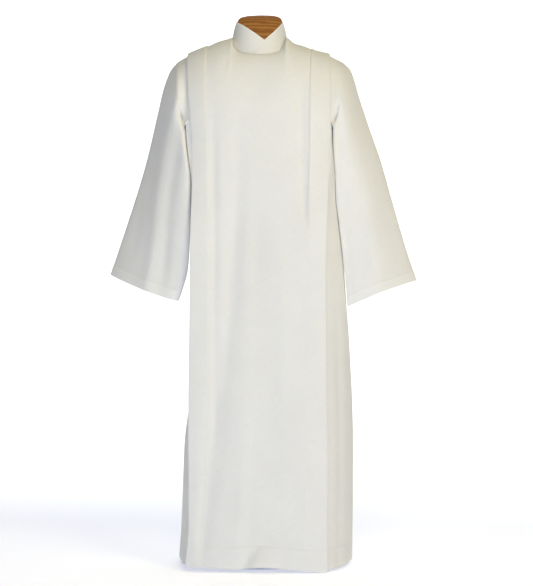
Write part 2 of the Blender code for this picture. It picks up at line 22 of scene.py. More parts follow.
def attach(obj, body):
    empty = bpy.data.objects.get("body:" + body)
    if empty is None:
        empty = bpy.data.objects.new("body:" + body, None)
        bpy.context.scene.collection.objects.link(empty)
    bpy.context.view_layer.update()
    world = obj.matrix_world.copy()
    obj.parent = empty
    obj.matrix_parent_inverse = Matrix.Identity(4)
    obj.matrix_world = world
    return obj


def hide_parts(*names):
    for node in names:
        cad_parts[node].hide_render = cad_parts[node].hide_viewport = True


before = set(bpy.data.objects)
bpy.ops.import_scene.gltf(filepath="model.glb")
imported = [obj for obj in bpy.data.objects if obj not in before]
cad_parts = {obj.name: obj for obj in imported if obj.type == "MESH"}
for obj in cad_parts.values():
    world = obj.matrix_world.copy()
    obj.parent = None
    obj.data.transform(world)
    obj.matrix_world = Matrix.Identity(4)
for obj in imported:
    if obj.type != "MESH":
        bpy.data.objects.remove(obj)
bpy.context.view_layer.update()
MM = 0.001
FRONT, BACK = -1, 1  # which way along Y a surface faces
SIGN = {"left": 1, "right": -1}  # the wearer's left is +X


def placed(name, data):
    """A new object in the scene."""
    obj = bpy.data.objects.new(name, data)
    bpy.context.scene.collection.objects.link(obj)
    return obj


def table(kind, rows):
    """A table's rows, with their columns named."""
    return [kind(*row) for row in rows]


print("pieces in the packed model:", ", ".join(sorted(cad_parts)))

# %% [markdown]
# ## Camera, floor and light
#
# The camera stands about five metres away, level with the middle of the robe and a touch to its
# left, with a long lens: that keeps the robe's sides nearly parallel. The floor runs up into a
# curved backdrop, so that no horizon shows behind the white cloth, and the paper glows by itself,
# more on the wall than on the floor.

# %% Camera
CAMERA_DISTANCE = 4.75
CAMERA_TURN = radians(3)
CAMERA_ASIDE = 0.0186
CAMERA_HEIGHT = 0.737
LENS_MM = 106.9
SENSOR_MM = 36

lens = bpy.data.cameras.new("camera")
lens.sensor_fit = "VERTICAL"
lens.sensor_height = SENSOR_MM
lens.lens = LENS_MM
camera = placed("camera", lens)
camera.location = (
    CAMERA_ASIDE * cos(CAMERA_TURN) + CAMERA_DISTANCE * sin(CAMERA_TURN),
    CAMERA_ASIDE * sin(CAMERA_TURN) - CAMERA_DISTANCE * cos(CAMERA_TURN),
    CAMERA_HEIGHT,
)
camera.rotation_euler = (pi / 2, 0, CAMERA_TURN)
bpy.context.scene.camera = camera
print("camera at", [round(v, 3) for v in camera.location])


# %% Nodes
def fill(made, **values):
    """Sets a node's inputs and properties. An input that is given a node's output is linked."""
    for key, value in values.items():
        socket = made.inputs.get(key.replace("_", " "))
        if socket is None:
            setattr(made, key, value)
        elif isinstance(value, bpy.types.NodeSocket):
            made.id_data.links.new(value, socket)
        else:
            socket.default_value = value
    return made


def node(tree, kind, **values):
    return fill(tree.nodes.new(kind), **values)


def math(tree, operation, a, b):
    made = node(tree, "ShaderNodeMath", operation=operation)
    for socket, value in zip(made.inputs, (a, b)):
        if isinstance(value, (int, float)):
            socket.default_value = value
        else:
            tree.links.new(value, socket)
    return made.outputs[0]


def weighed(tree, a, a_share, b, b_share):
    """The sum of two values, each times its share."""
    return math(
        tree, "ADD", math(tree, "MULTIPLY", a, a_share), math(tree, "MULTIPLY", b, b_share)
    )


def object_place(tree):
    return node(tree, "ShaderNodeTexCoord").outputs["Object"]


def stretched_noise(tree, vector, scale, stretch, detail=2.0):
    """Noise on coordinates that are stretched first."""
    mapping = node(tree, "ShaderNodeMapping", Scale=stretch, Vector=vector)
    vector = mapping.outputs["Vector"]
    made = node(tree, "ShaderNodeTexNoise", Scale=scale, Detail=detail, Vector=vector)
    return made.outputs["Fac"]


def bands(tree, vector, direction, **values):
    """A texture of waves across one direction."""
    return node(
        tree, "ShaderNodeTexWave", wave_type="BANDS", bands_direction=direction, Vector=vector,
        **values,
    ).outputs["Fac"]


# %% Materials
def ramp(tree, source, stops):
    """A colour ramp from a value, through stops of (position, colour)."""
    made = node(tree, "ShaderNodeValToRGB", Fac=source)
    elements = made.color_ramp.elements
    while len(elements) < len(stops):
        elements.new(0.5)
    for element, (position, colour) in zip(elements, stops):
        element.position = position
        element.color = (*colour, 1)
    return made.outputs["Color"]


def material(name, **values):
    """A new material and its node tree, with its shader's inputs set."""
    made = bpy.data.materials.new(name)
    made.use_nodes = True
    fill(made.node_tree.nodes["Principled BSDF"], **values)
    return made, made.node_tree


def surface(tree, colour, height, strength, distance):
    """Gives a material its colour, and its relief as a bump."""
    raised = node(tree, "ShaderNodeBump", Strength=strength, Distance=distance, Height=height)
    shader = tree.nodes["Principled BSDF"]
    fill(shader, Base_Color=colour, Normal=raised.outputs["Normal"])


def speckled(name, texture, stops, relief, knit=0, **values):
    """A material coloured by noise. Its relief is that noise, or bands of knitting."""
    made, tree = material(name, **values)
    place = object_place(tree)
    spots = stretched_noise(tree, place, *texture)
    height = bands(tree, place, "Z", Scale=knit) if knit else spots
    surface(tree, ramp(tree, spots, stops), height, *relief)
    return made


# %% Floor and backdrop, one sheet
FLOOR_HALF = 8.0  # how far the floor reaches to each side
FLOOR_FRONT = -7.0
BACKDROP_AT = 5.8  # far enough back to leave room for a look from behind
BACKDROP_BEND = 1.5
BACKDROP_TOP = 7.0
FLOOR_GLOW = (0.432, 0.445, 0.505)
BACKDROP_GLOW = (0.95, 0.97, 1.0)
BACKDROP_STEPS = 16
PAPER_GLOW = 1.1
GLOW_FROM = 0.8  # how far back the paper's glow starts to change from the floor's
GLOW_TO = 4.0


def backdrop():
    profile = [(FLOOR_FRONT, 0.0), (BACKDROP_AT - BACKDROP_BEND, 0.0)]
    for n in range(1, BACKDROP_STEPS + 1):
        turn = pi / 2 * n / BACKDROP_STEPS
        profile.append(
            (BACKDROP_AT - BACKDROP_BEND * (1 - sin(turn)), BACKDROP_BEND * (1 - cos(turn)))
        )
    profile.append((BACKDROP_AT, BACKDROP_TOP))
    places = [(x, y, z) for y, z in profile for x in (-FLOOR_HALF, FLOOR_HALF)]
    faces = [(n, n + 1, n + 3, n + 2) for n in range(0, len(places) - 2, 2)]
    mesh = bpy.data.meshes.new("floor")
    mesh.from_pydata(places, [], faces)
    mesh.shade_smooth()
    paper, tree = material("backdrop_paper", Roughness=0.9, Base_Color=(0.86, 0.86, 0.86, 1))
    apart = node(tree, "ShaderNodeSeparateXYZ", Vector=object_place(tree))
    back = node(
        tree, "ShaderNodeMapRange", Value=apart.outputs["Y"], From_Min=GLOW_FROM, From_Max=GLOW_TO
    )
    glow = ramp(tree, back.outputs["Result"], [(0, FLOOR_GLOW), (1, BACKDROP_GLOW)])
    fill(tree.nodes["Principled BSDF"], Emission_Color=glow, Emission_Strength=PAPER_GLOW)
    mesh.materials.append(paper)
    placed("floor", mesh)


backdrop()

# %% Soft lights: warm ones high in front and to the wearer's left, a cool one low, one above
Light = namedtuple("Light", "name turn lift away watts colour")
LIGHTS = table(Light, [
    ("front_high", 0, 30, 4.5, 50.7, (1.0, 0.84, 0.12)),
    ("front_low", 0, 2, 4.5, 73.9, (0.234, 0.415, 1.0)),
    ("warm_key", 35, 30, 4.5, 62.9, (1.0, 0.87, 0.518)),
    ("top", 0, 89, 3.5, 14.0, (0.769, 0.807, 1.0)),
])
LIGHT_SIZE = 1.4
AIM = Vector((0, 0, 0.85))

for row in LIGHTS:
    data = bpy.data.lights.new(row.name, "AREA")
    data.size = LIGHT_SIZE
    data.energy = row.watts
    data.color = row.colour
    light = placed(row.name, data)
    turn, lift = radians(row.turn), radians(row.lift)
    towards = Vector((cos(lift) * sin(turn), -cos(lift) * cos(turn), sin(lift)))
    light.location = AIM + towards * row.away
    light.rotation_euler = towards.to_track_quat("Z", "Y").to_euler()

sky = bpy.data.worlds.new("studio")
sky.use_nodes = True
sky.node_tree.nodes["Background"].inputs["Strength"].default_value = 0
bpy.context.scene.world = sky
bpy.context.scene.view_settings.view_transform = "Standard"
print("lights:", ", ".join(row.name for row in LIGHTS))

# %% [markdown]
# ## The robe's sizes
#
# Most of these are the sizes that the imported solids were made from, in millimetres. Thin cloth can
# lie closer than the solids do, so here the pleat strips stand less proud, and the sleeves and the
# collar's foot lie nearer to the cloth beside them. Under the arms the side panels are squarer and
# the sleeves' front corners are drawn in, so that less of a gap shows. The slope below the neck,
# the sleeves' heads, two of the front's long folds and its hem differ a little too.
#
# Each table has a row for a level of the robe, a station of a sleeve or a fold. A smooth curve
# runs through every column, so a few rows describe a long soft form.

# %% Sizes of the body and its pleats
CLOTH = 1.6 * MM
PLEAT_CLOTH = 1.2 * MM
SEAM_GAP = 0.3 * MM
SHOULDER_GAP = 0.45 * MM
SEAM_TURN = 1.7 * MM
PLEAT_PROUD = 3.3 * MM
PLEAT_RETURN = 12 * MM
PLEAT_FOLD = 1.35 * MM
CHEST_HEIGHT = 1200 * MM
CHEST_SHARE = 2 / 3
ROW_POWER = 1.45
SHOULDER_LIFT = 2.3
NECK_LIFT = 1.7
CHEST_SPAN = 285 * MM
SKIRT_SPAN = 350 * MM
CHEST_FROM = 1150 * MM
SKIRT_FROM = 900 * MM
FACE_POWER = 4
ARM_EDGE = 184 * MM
ARM_SEAM_TOP = 1200.8 * MM
ARM_DIP = 35 * MM
ARM_DIP_POWER = 10
SIDE_POWER = 1.2
ARM_POWER = 9
ARM_POWER_FROM = 980 * MM
SIDE_LEAST = 4 * MM
NECK_SIDE = 74 * MM
NECK_FRONT = 75 * MM
NECK_BACK = 62 * MM
NECK_LOW = 1379 * MM
NECK_HIGH = 1434 * MM
NECK_NAPE = 1445 * MM
NECK_POWER = 1.4
NOMINAL_ACROSS = 0.15  # where across the robe a row's nominal height is read
HEM_BACK_HEIGHT = 15 * MM

Level = namedtuple(
    "Level", "height right_out right_in left_in left_out right_side left_side front back"
)
LEVELS = table(Level, [
    (10, 187, 149, 124, 188, 222, 250, 175, 168),
    (110, 179, 143, 126, 187, 216, 253, 169, 161),
    (240, 179, 136, 130, 188, 211, 255, 163, 153),
    (330, 180, 133, 130, 188, 207, 256, 159, 148),
    (400, 180, 131, 130, 187, 198, 255, 156, 144),
    (470, 180, 129, 131, 185, 187, 253, 153, 141),
    (600, 179, 129, 132, 184, 184, 247, 147, 134),
    (700, 178, 129, 132, 183, 186, 240, 143, 130),
    (800, 178, 129, 133, 183, 187, 233, 139, 126),
    (930, 176, 130, 135, 186, 187, 222, 134, 120),
    (1050, 174, 131, 137, 190, 191, 212, 131, 115),
    (1160, 177, 134, 139, 193, 197, 201, 128, 110),
    (1280, 187, 140, 140, 195, 199, 199, 127, 106),
    (1380, 193, 141, 141, 191, 199, 199, 127, 106),
])

Shoulder = namedtuple("Shoulder", "out right left")
SHOULDERS = table(Shoulder, [
    (74, 1434, 1434), (84, 1430, 1426), (96, 1427, 1416), (110, 1423, 1412),
    (135, 1412, 1403), (150, 1406, 1395), (190, 1390, 1385), (204, 1382, 1379),
])

Hem = namedtuple("Hem", "across height")
HEM_FRONT = table(Hem, [
    (-260, 19), (-188, 15), (-70, 10), (12, 15), (90, 10), (155, 4), (188, 3), (260, 10),
])

Fold = namedtuple("Fold", "top bottom across_top across_mid across_bottom half_width depth")
FOLDS = {
    FRONT: table(Fold, [
        (1300, -50, -42, -80, -166, 26, 9),
        (1180, -50, 4, -8, -24, 20, 3),
        (1320, 300, -118, -114, -112, 12, 5),
        (1340, 900, 119, 119, 126, 12, 6),
        (1000, 100, 60, 74, 84, 34, -5),
        (900, -60, -12, -20, -62, 24, -4),
    ]),
    BACK: table(Fold, [
        (1250, -60, -52, -60, -84, 24, 9),
        (1180, -60, 6, 12, 26, 22, 8),
        (1260, -60, 66, 72, 92, 22, 8),
        (1280, 800, -112, -108, -106, 13, 5),
        (1280, 820, 112, 108, 104, 13, 5),
    ]),
}
STRIP_FLAT = 136 * MM  # beyond it the strips lie on the panel, and the long folds end
STRIP_FADE = 30 * MM
SIDE_WAVES = 2.0
SIDE_WAVE_DEPTH = 6 * MM
SIDE_WAVE_TOP = 0.9
SIDE_ACROSS = 0.25  # how far out the hem's height is read for the middle of a side

# %% Sizes of the sleeves and the collar
Ring = namedtuple("Ring", "down outer_x outer_z inner_x inner_z skew forward back")
SLEEVES = {
    "right": table(Ring, [
        (0, 222, 1370, 201, 1148, 0, 98, 90),
        (143, 243, 1347, 197, 1122, 30, 84, 86),
        (286, 262, 1301, 192, 1092, 66, 66, 84),
        (429, 281, 1221, 187, 1058, 92, 48, 82),
        (571, 310, 1100, 182, 1002, 100, 36, 78),
        (714, 346, 977, 181, 912, 100, 32, 74),
        (857, 383, 865, 187, 800, 92, 32, 72),
        (1000, 409, 787, 214, 717, 80, 34, 70),
    ]),
    "left": table(Ring, [
        (0, 226, 1365, 205, 1146, 0, 98, 90),
        (143, 249, 1342, 203, 1120, 28, 84, 84),
        (286, 271, 1270, 203, 1084, 52, 66, 80),
        (429, 300, 1182, 205, 1036, 62, 52, 76),
        (571, 330, 1097, 209, 980, 62, 44, 73),
        (714, 353, 1015, 217, 920, 58, 40, 70),
        (857, 400, 853, 232, 786, 48, 40, 68),
        (1000, 427, 771, 240, 701, 38, 42, 68),
    ]),
}
HEAD_POWER = 1.65
INNER_POWER = {"right": 2.3, "left": 1.6}
FOLD_POWER = 1.4
FOLD_SETTLES = 0.4
SLEEVE_CLEAR = 1.2 * MM
TUCK = 13 * MM  # how far a sleeve's front corner is drawn in towards the body below the armhole
TUCK_FORWARD = 0.05  # how far in front of the middle it begins
TUCK_FORWARD_FADE = 0.04
TUCK_HEIGHT = 1171 * MM
TUCK_ABOVE = 32 * MM
TUCK_BELOW = {"right": 150 * MM, "left": 110 * MM}
CUFF_DROOP = {"right": 7 * MM, "left": -4 * MM}
HEAD_OUT = 14 * MM
HEAD_SUNK = 3 * MM
HEAD_DROP = 9 * MM

SLEEVE_FOLD_START = 0.25
SleeveFold = namedtuple("SleeveFold", "top mid cuff half_width depth")
SLEEVE_FOLDS = {
    "right": table(SleeveFold, [(214, 232, 262, 15, 3), (244, 266, 302, 18, -5)]),
    "left": table(SleeveFold, [(230, 234, 242, 14, 3), (252, 284, 330, 24, -4)]),
}
SLEEVE_BACK_DEPTH = 0.8  # how deep folds and creases are at the back, against the front

COLLAR_TOP_SIDE = 64 * MM
COLLAR_TOP_FRONT = 67 * MM
COLLAR_TOP_BACK = 59 * MM
COLLAR_TOP_Z = 1475 * MM
COLLAR_NAPE_Z = 1490 * MM
COLLAR_INSIDE = 0.15 * MM
COLLAR_RISE = 0.15 * MM
CROSSING = (17 * MM, 1419 * MM)
LAPPED_CURVE = 0.75
UNDER_END = 45 * MM
OVER_END = -17 * MM
COLLAR_LAP = 2.6 * MM
COLLAR_CURVE = 1.5

# %% [markdown]
# ## From tables to a surface
#
# NumPy works out a whole grid of points at once, so these helpers take arrays. `read` draws a
# smooth curve through a table's column that never overshoots its rows, and `face_point` turns a
# distance from the middle and a share of the way up into a point of the front or the back.


# %% Curves through tables
def mix(a, b, share):
    return a + (b - a) * share


def ease(value):
    value = np.clip(value, 0, 1)
    return value * value * (3 - 2 * value)


def bump(distance, half_width):
    """1 on a line, falling softly to nothing beside it."""
    return np.exp(-((distance / half_width) ** 2))


def read(rows, key, column, at):
    """A column of a table, in metres, on a smooth curve through its rows at the key's values."""
    keys = np.array([getattr(row, key) for row in rows]) * MM
    values = np.array([getattr(row, column) for row in rows]) * MM
    slopes = np.diff(values) / np.diff(keys)
    before, after = slopes[:-1], slopes[1:]
    same = before * after > 0
    inner = np.where(same, 2 * before * after / np.where(same, before + after, 1), 0)
    tangents = np.concatenate([slopes[:1], inner, slopes[-1:]])
    at = np.clip(at, keys[0], keys[-1])
    i = np.clip(np.searchsorted(keys, at, side="right") - 1, 0, len(keys) - 2)
    step = keys[i + 1] - keys[i]
    t = (at - keys[i]) / step
    return (
        values[i] * (2 * t**3 - 3 * t**2 + 1)
        + tangents[i] * step * (t**3 - 2 * t**2 + t)
        + values[i + 1] * (3 * t**2 - 2 * t**3)
        + tangents[i + 1] * step * (t**3 - t**2)
    )


def through(first, middle, last, share):
    """A value that runs smoothly from first by middle to last."""
    return (
        first * (1 - share) * (1 - 2 * share)
        + middle * 4 * share * (1 - share)
        + last * share * (2 * share - 1)
    )


def points(x, y, z):
    """Three arrays as one array of points."""
    return np.stack(np.broadcast_arrays(x, y, z), axis=-1).astype(float)


def unit(vectors):
    return vectors / np.linalg.norm(vectors, axis=-1, keepdims=True)


print("half width of the robe at the hem:", read(LEVELS, "height", "left_side", 0.01), "m")

# %% [markdown]
# The long folds are part of the solids. Cloth that hangs on a form also shows small creases: short
# drags below the collar and at the armholes, and shallow dents where it lay folded. A crease here
# is a trough between two places, with a bow, a half width and a depth.

# %% Folds and creases
Crease = namedtuple("Crease", "x z to_x to_z bow half_width depth")
CREASES = {
    FRONT: table(Crease, [
        (-66, 1384, -92, 1322, 4, 7, 1.9),
        (-56, 1376, -78, 1300, -3, 9, 1.4),
        (-128, 1390, -118, 1250, 6, 12, 1.2),
        (104, 1350, 116, 1010, -4, 9, 0.8),
        (-40, 1240, -58, 1080, 6, 15, 1.0),
        (128, 940, 150, 880, 4, 9, 1.6),
        (158, 900, 164, 640, 4, 12, 1.4),
        (-96, 980, -118, 760, -8, 16, 1.2),
        (40, 700, 30, 380, -6, 20, 1.0),
        (98, 620, 90, 250, 6, 18, 1.2),
        (-98, 420, -112, 260, -4, 14, -1.6),
        (64, 330, 52, 60, 5, 16, 1.0),
    ]),
    BACK: table(Crease, [
        (-70, 1390, -96, 1310, 4, 9, 1.8),
        (72, 1392, 98, 1300, -5, 10, 1.6),
        (-30, 1300, -44, 1120, 6, 16, 1.8),
        (34, 1290, 52, 1090, -6, 17, 2.0),
        (-90, 940, -112, 640, -7, 18, 2.2),
        (100, 900, 116, 600, 8, 17, 2.0),
        (34, 760, 42, 380, 6, 20, -2.4),
        (-26, 640, -36, 240, -6, 22, -2.2),
        (-112, 430, -122, 120, 5, 16, 1.8),
        (112, 420, 124, 90, -5, 16, 1.8),
    ]),
}
FOLD_START, FOLD_END = 0.3, 0.12  # shares of a fold's length over which it comes and goes
CREASE_FADE = 0.45


def fold_depth(folds, across, height):
    """How far the long folds push the cloth inwards. A negative depth is a ridge."""
    depth = 0.0
    for fold in folds:
        share = (fold.top * MM - height) / ((fold.top - fold.bottom) * MM)
        path = through(fold.across_top, fold.across_mid, fold.across_bottom, share) * MM
        fade = ease(share / FOLD_START) * ease((1 - share) / FOLD_END)
        depth = depth + fold.depth * MM * fade * bump(across - path, fold.half_width * MM)
    return depth * (1 - ease((np.abs(across) - STRIP_FLAT) / STRIP_FADE))


def crease_depth(creases, across, height):
    """How far the small creases push the cloth inwards."""
    depth = 0.0
    for crease in creases:
        start = np.array([crease.x, crease.z]) * MM
        run = np.array([crease.to_x, crease.to_z]) * MM - start
        length = np.linalg.norm(run)
        along = ((across - start[0]) * run[0] + (height - start[1]) * run[1]) / length**2
        aside = ((across - start[0]) * run[1] - (height - start[1]) * run[0]) / length
        aside = aside - crease.bow * MM * 4 * along * (1 - along)
        fade = ease((along + 0.15) / CREASE_FADE) * ease((1.15 - along) / CREASE_FADE)
        depth = depth + crease.depth * MM * fade * bump(aside, crease.half_width * MM)
    return depth


# %% Neck, shoulder and hem lines
def level(column, height):
    return read(LEVELS, "height", column, height)


def hem_height(across, facing):
    if facing == BACK:
        return np.full(np.shape(across), HEM_BACK_HEIGHT)
    return read(HEM_FRONT, "across", "height", across)


def neck_seam(turn):
    """Points of the neck seam, turn 0 in front, 90 degrees at the wearer's left, 180 behind."""
    facing = np.cos(turn)
    low = mix(NECK_HIGH, NECK_LOW, 1 - np.abs(1 - facing) ** NECK_POWER)
    high = mix(NECK_HIGH, NECK_NAPE, -facing)
    depth = np.where(facing > 0, NECK_FRONT, NECK_BACK)
    return points(NECK_SIDE * np.sin(turn), -depth * facing, np.where(facing > 0, low, high))


def top_edge(across, facing):
    """Depth and height of the edge where a column ends: the neck seam or the shoulder seam."""
    turn = np.arcsin(np.clip(np.abs(across) / NECK_SIDE, 0, 1))
    seam = neck_seam(turn if facing == FRONT else pi - turn)
    left, right = (read(SHOULDERS, "out", side, np.abs(across)) for side in ("left", "right"))
    shoulder = np.where(across > 0, left, right)
    at_neck = np.abs(across) < NECK_SIDE
    depth = np.where(at_neck, np.maximum(np.abs(seam[..., 1]), SHOULDER_GAP), SHOULDER_GAP)
    return depth, np.where(at_neck, seam[..., 2], shoulder)


# %% The front and back as surfaces
def row_height(across, share, facing):
    low = hem_height(across, facing)
    top = top_edge(across, facing)[1]
    rise = np.clip((share - CHEST_SHARE) / (1 - CHEST_SHARE), 0, 1)
    rise = np.sin(rise**ROW_POWER * pi / 2)
    below = mix(low, CHEST_HEIGHT, share / CHEST_SHARE)
    return np.where(share <= CHEST_SHARE, below, mix(CHEST_HEIGHT, top, rise))


def face_round(across, height):
    """The share of its depth that the front or back keeps at a distance from the middle."""
    chest = ease((height - SKIRT_FROM) / (CHEST_FROM - SKIRT_FROM))
    return 1 - (np.abs(across) / mix(SKIRT_SPAN, CHEST_SPAN, chest)) ** FACE_POWER


def face_point(across, share, facing):
    """Points of the front or back, from distances from the middle and shares of the way up."""
    across, share = np.broadcast_arrays(np.asarray(across, float), np.asarray(share, float))
    height = row_height(across, share, facing)
    depth = level("front" if facing == FRONT else "back", height)
    body = depth * face_round(across, height)
    folds = fold_depth(FOLDS[facing], across, height)
    folds = folds + crease_depth(CREASES[facing], across, height)
    edge, top = top_edge(across, facing)
    rise = np.clip((height - CHEST_HEIGHT) / (top - CHEST_HEIGHT), 0, 1)
    lift = mix(NECK_LIFT, SHOULDER_LIFT, ease(np.abs(across) / NECK_SIDE / 0.95))
    reach = (1 - rise**lift) ** (1 / lift)
    rounded = edge + (body - edge) * reach
    out = np.where(share > CHEST_SHARE, rounded - folds * reach, body - folds)
    return points(across, facing * out, height)


def face_normal(across, share, facing):
    """The outward directions of the front or back at those places."""
    step = 0.002
    up_share, down_share = np.minimum(share + step, 1), np.maximum(share - step, 0)
    up = face_point(across, up_share, facing) - face_point(across, down_share, facing)
    right = face_point(across + step, share, facing) - face_point(across - step, share, facing)
    return unit(np.cross(right, up)) * -facing


def nominal_height(share, facing):
    return row_height(np.full(np.shape(share), NOMINAL_ACROSS), share, facing)


def pleat_seam(side, height):
    return (level(side + "_in", height) + level(side + "_out", height)) / 2


def panel_edge(side, share, facing):
    height = nominal_height(share, facing)
    rise = ease((height - CHEST_HEIGHT) / (ARM_SEAM_TOP - CHEST_HEIGHT))
    return mix(pleat_seam(side, height), ARM_EDGE, rise)


# %% The sides, under the arms
def side_top(around):
    return CHEST_HEIGHT - SEAM_GAP - ARM_DIP * np.sin(pi * around) ** ARM_DIP_POWER


def side_section(side, height):
    """A side panel's level section: seam, width beyond it, middle and half of its depth."""
    seam = pleat_seam(side, height) + SEAM_TURN
    body = face_round(seam, height)
    front, back = -level("front", height) * body, level("back", height) * body
    wide = np.maximum(level(side + "_side", height) - seam, SIDE_LEAST)
    return seam, wide, (front + back) / 2, (back - front) / 2


def side_power(height):
    share = (height - ARM_POWER_FROM) / (CHEST_HEIGHT - ARM_POWER_FROM)
    return mix(SIDE_POWER, ARM_POWER, ease(share))


def side_point(side, around, share):
    """Points of a side panel: around from its front seam, 0, to its back seam, 1."""
    around, share = np.broadcast_arrays(np.asarray(around, float), np.asarray(share, float))
    facing = np.where(around < 0.5, -1, 1)
    sign = SIGN[side]
    seam_at = np.full(around.shape, sign * float(pleat_seam(side, 0.0)))
    seam_hem = np.where(facing < 0, hem_height(seam_at, FRONT), HEM_BACK_HEIGHT)
    side_hem = hem_height(np.full(around.shape, sign * SIDE_ACROSS), FRONT)
    low = mix(seam_hem, side_hem, np.sin(pi * around))
    height = mix(low, side_top(around), share)
    seam, wide, middle, half = side_section(side, height)
    reach = np.sin(pi * around)
    wave = np.sin(SIDE_WAVES * 2 * pi * around) * reach * ease(1 - height / SIDE_WAVE_TOP)
    wave = wave * SIDE_WAVE_DEPTH
    out = seam + wide * reach + wave
    depth = np.where(facing < 0, level("front", height), level("back", height))
    deep = half * np.clip(1 - reach ** side_power(height), 0, 1) ** 0.5
    deep = np.minimum(deep, depth * face_round(out, height) - facing * middle)
    return points(sign * out, middle + facing * deep, height)


def beside(side, depth, height):
    """The least distances out that keep a sleeve clear of the side panel that it hangs against."""
    seam, wide, middle, half = side_section(side, height)
    deep = np.clip(np.abs(depth - middle) / half, 0, 1)
    return seam + wide * (1 - deep**2) ** (1 / side_power(height)) + SLEEVE_CLEAR


# %% [markdown]
# ## Cloth as a mesh
#
# Every piece of the robe is a grid of points, so one function serves them all. It joins the grid
# into faces, unrolls it into a UV map in metres, so that the weave keeps its real size wherever
# the cloth bends, and thickens it inwards with Solidify. A vertex group makes the wall thicker
# where a hem is turned in. The result is made a plain mesh, with its raw edges kept crisp.

# %% Grid to cloth
HEM_WALL = 2.4 * MM  # how thick double cloth is
SHARP = radians(40)


def unrolled(grid):
    """The grid laid flat: distances across and up, in metres, measured on the cloth."""
    across = np.linalg.norm(np.diff(grid, axis=1), axis=2).mean(axis=0)
    up = np.linalg.norm(np.diff(grid, axis=0), axis=2).mean(axis=1)
    u = np.concatenate([[0], np.cumsum(across)])
    v = np.concatenate([[0], np.cumsum(up)])
    return u, v


def applied(obj):
    """Makes an object's mesh what its modifiers make of it."""
    graph = bpy.context.evaluated_depsgraph_get()
    mesh = bpy.data.meshes.new_from_object(obj.evaluated_get(graph))
    mesh.name = obj.name
    obj.modifiers.clear()
    obj.data = mesh
    mesh.shade_smooth()
    return obj


def cloth(
    name, grid, flip, turned, closed=False, wall=CLOTH, turned_wall=HEM_WALL, shown=1.0,
    finish=None,
):
    """A piece of cloth through a grid of points. turned says where, from 0 to 1, it is doubled."""
    rows, columns = grid.shape[:2]
    u, v = unrolled(np.concatenate([grid, grid[:, :1]], axis=1) if closed else grid)
    index = np.arange(rows * columns).reshape(rows, columns)
    low, high = index[:-1], index[1:]
    if closed:
        low, high = np.hstack([low, low[:, :1]]), np.hstack([high, high[:, :1]])
    faces = np.stack([low[:, :-1], low[:, 1:], high[:, 1:], high[:, :-1]], axis=-1)
    uvs = np.zeros(faces.shape + (2,))
    uvs[..., 0] = np.stack([u[:-1], u[1:], u[1:], u[:-1]], axis=-1)[None]
    uvs[..., 1] = np.stack([v[:-1], v[:-1], v[1:], v[1:]], axis=-1)[:, None]
    if flip:
        faces, uvs = faces[..., ::-1], uvs[..., ::-1, :]
    mesh = bpy.data.meshes.new(name)
    mesh.from_pydata(grid.reshape(-1, 3).tolist(), [], faces.reshape(-1, 4).tolist())
    mesh.uv_layers.new(name="cut").data.foreach_set("uv", uvs.reshape(-1))
    weights = np.broadcast_to(turned, (rows, columns)).reshape(-1)
    band = mesh.attributes.new("band", "FLOAT", "POINT")
    band.data.foreach_set("value", (weights * shown).astype(np.float32))
    mesh.materials.append(finish or LINEN)
    obj = placed(name, mesh)
    group = obj.vertex_groups.new(name="turned")
    for n, weight in enumerate(weights):
        group.add([n], float(weight), "REPLACE")
    shell = obj.modifiers.new("wall", "SOLIDIFY")
    shell.thickness = turned_wall
    shell.offset = -1
    shell.vertex_group = "turned"
    shell.thickness_vertex_group = wall / turned_wall
    applied(obj).data.set_sharp_from_angle(angle=SHARP)
    print(f"{name}: {len(obj.data.polygons)} faces, {u[-1]:.3f} by {v[-1]:.3f} m flat")
    return obj


# %% Lines of sewing, kept for the stitches
SEWN_IN = 2.2 * MM  # how far inside an edge or a hem's top the sewing runs
HEM_TURN = 2 * MM  # over how much of its height a hem's top goes from double to single
HEM_SHOWN = 0.12  # how much of the lighter look of double cloth the deep hem has
seams = []


def sew(grid, flip, row=slice(None), column=slice(None), closed=False):
    """Keeps a row or a column of a grid of cloth, with the cloth's outward directions there."""
    out = np.cross(np.gradient(grid, axis=1), np.gradient(grid, axis=0))
    out = unit(out) * (-1 if flip else 1)
    line, facing = grid[row, column], out[row, column]
    if closed:
        line, facing = np.concatenate([line, line[:1]]), np.concatenate([facing, facing[:1]])
    seams.append((line, facing))


def hem_row(distance, band):
    """The row where a hem is sewn, from the rows' distances above its edge."""
    return int(np.argmin(np.abs(distance[:, 0] - (band - SEWN_IN))))


def hemmed(name, grid, flip, distance, band, column=slice(None), **values):
    """A piece of cloth with a hem turned in and sewn at its foot."""
    sew(grid, flip, hem_row(distance, band), column, values.get("closed", False))
    return cloth(name, grid, flip, ease((band - distance) / HEM_TURN), **values)


# %% [markdown]
# ## The cloth's finish
#
# The cloth is woven from slightly uneven yarn: plain weave, about twenty threads to the centimetre,
# with thicker slubs here and there. From two metres away it reads as a soft matt white with a faint
# grain. The weave is a bump made of two crossed waves on the UV map, the slubs are noise stretched
# along each yarn, and both also change the colour very slightly.

# %% Linen-like cloth
THREADS_PER_METRE = 2000
BAND_LIGHT = 0.02  # how much lighter double cloth is than single cloth
# painted highlight: how much lighter the collar's rolled top rim is made, far more than double cloth
# is
PAINTED_RIM_HIGHLIGHT = 0.18
WHITE = (0.835, 0.822, 0.785)


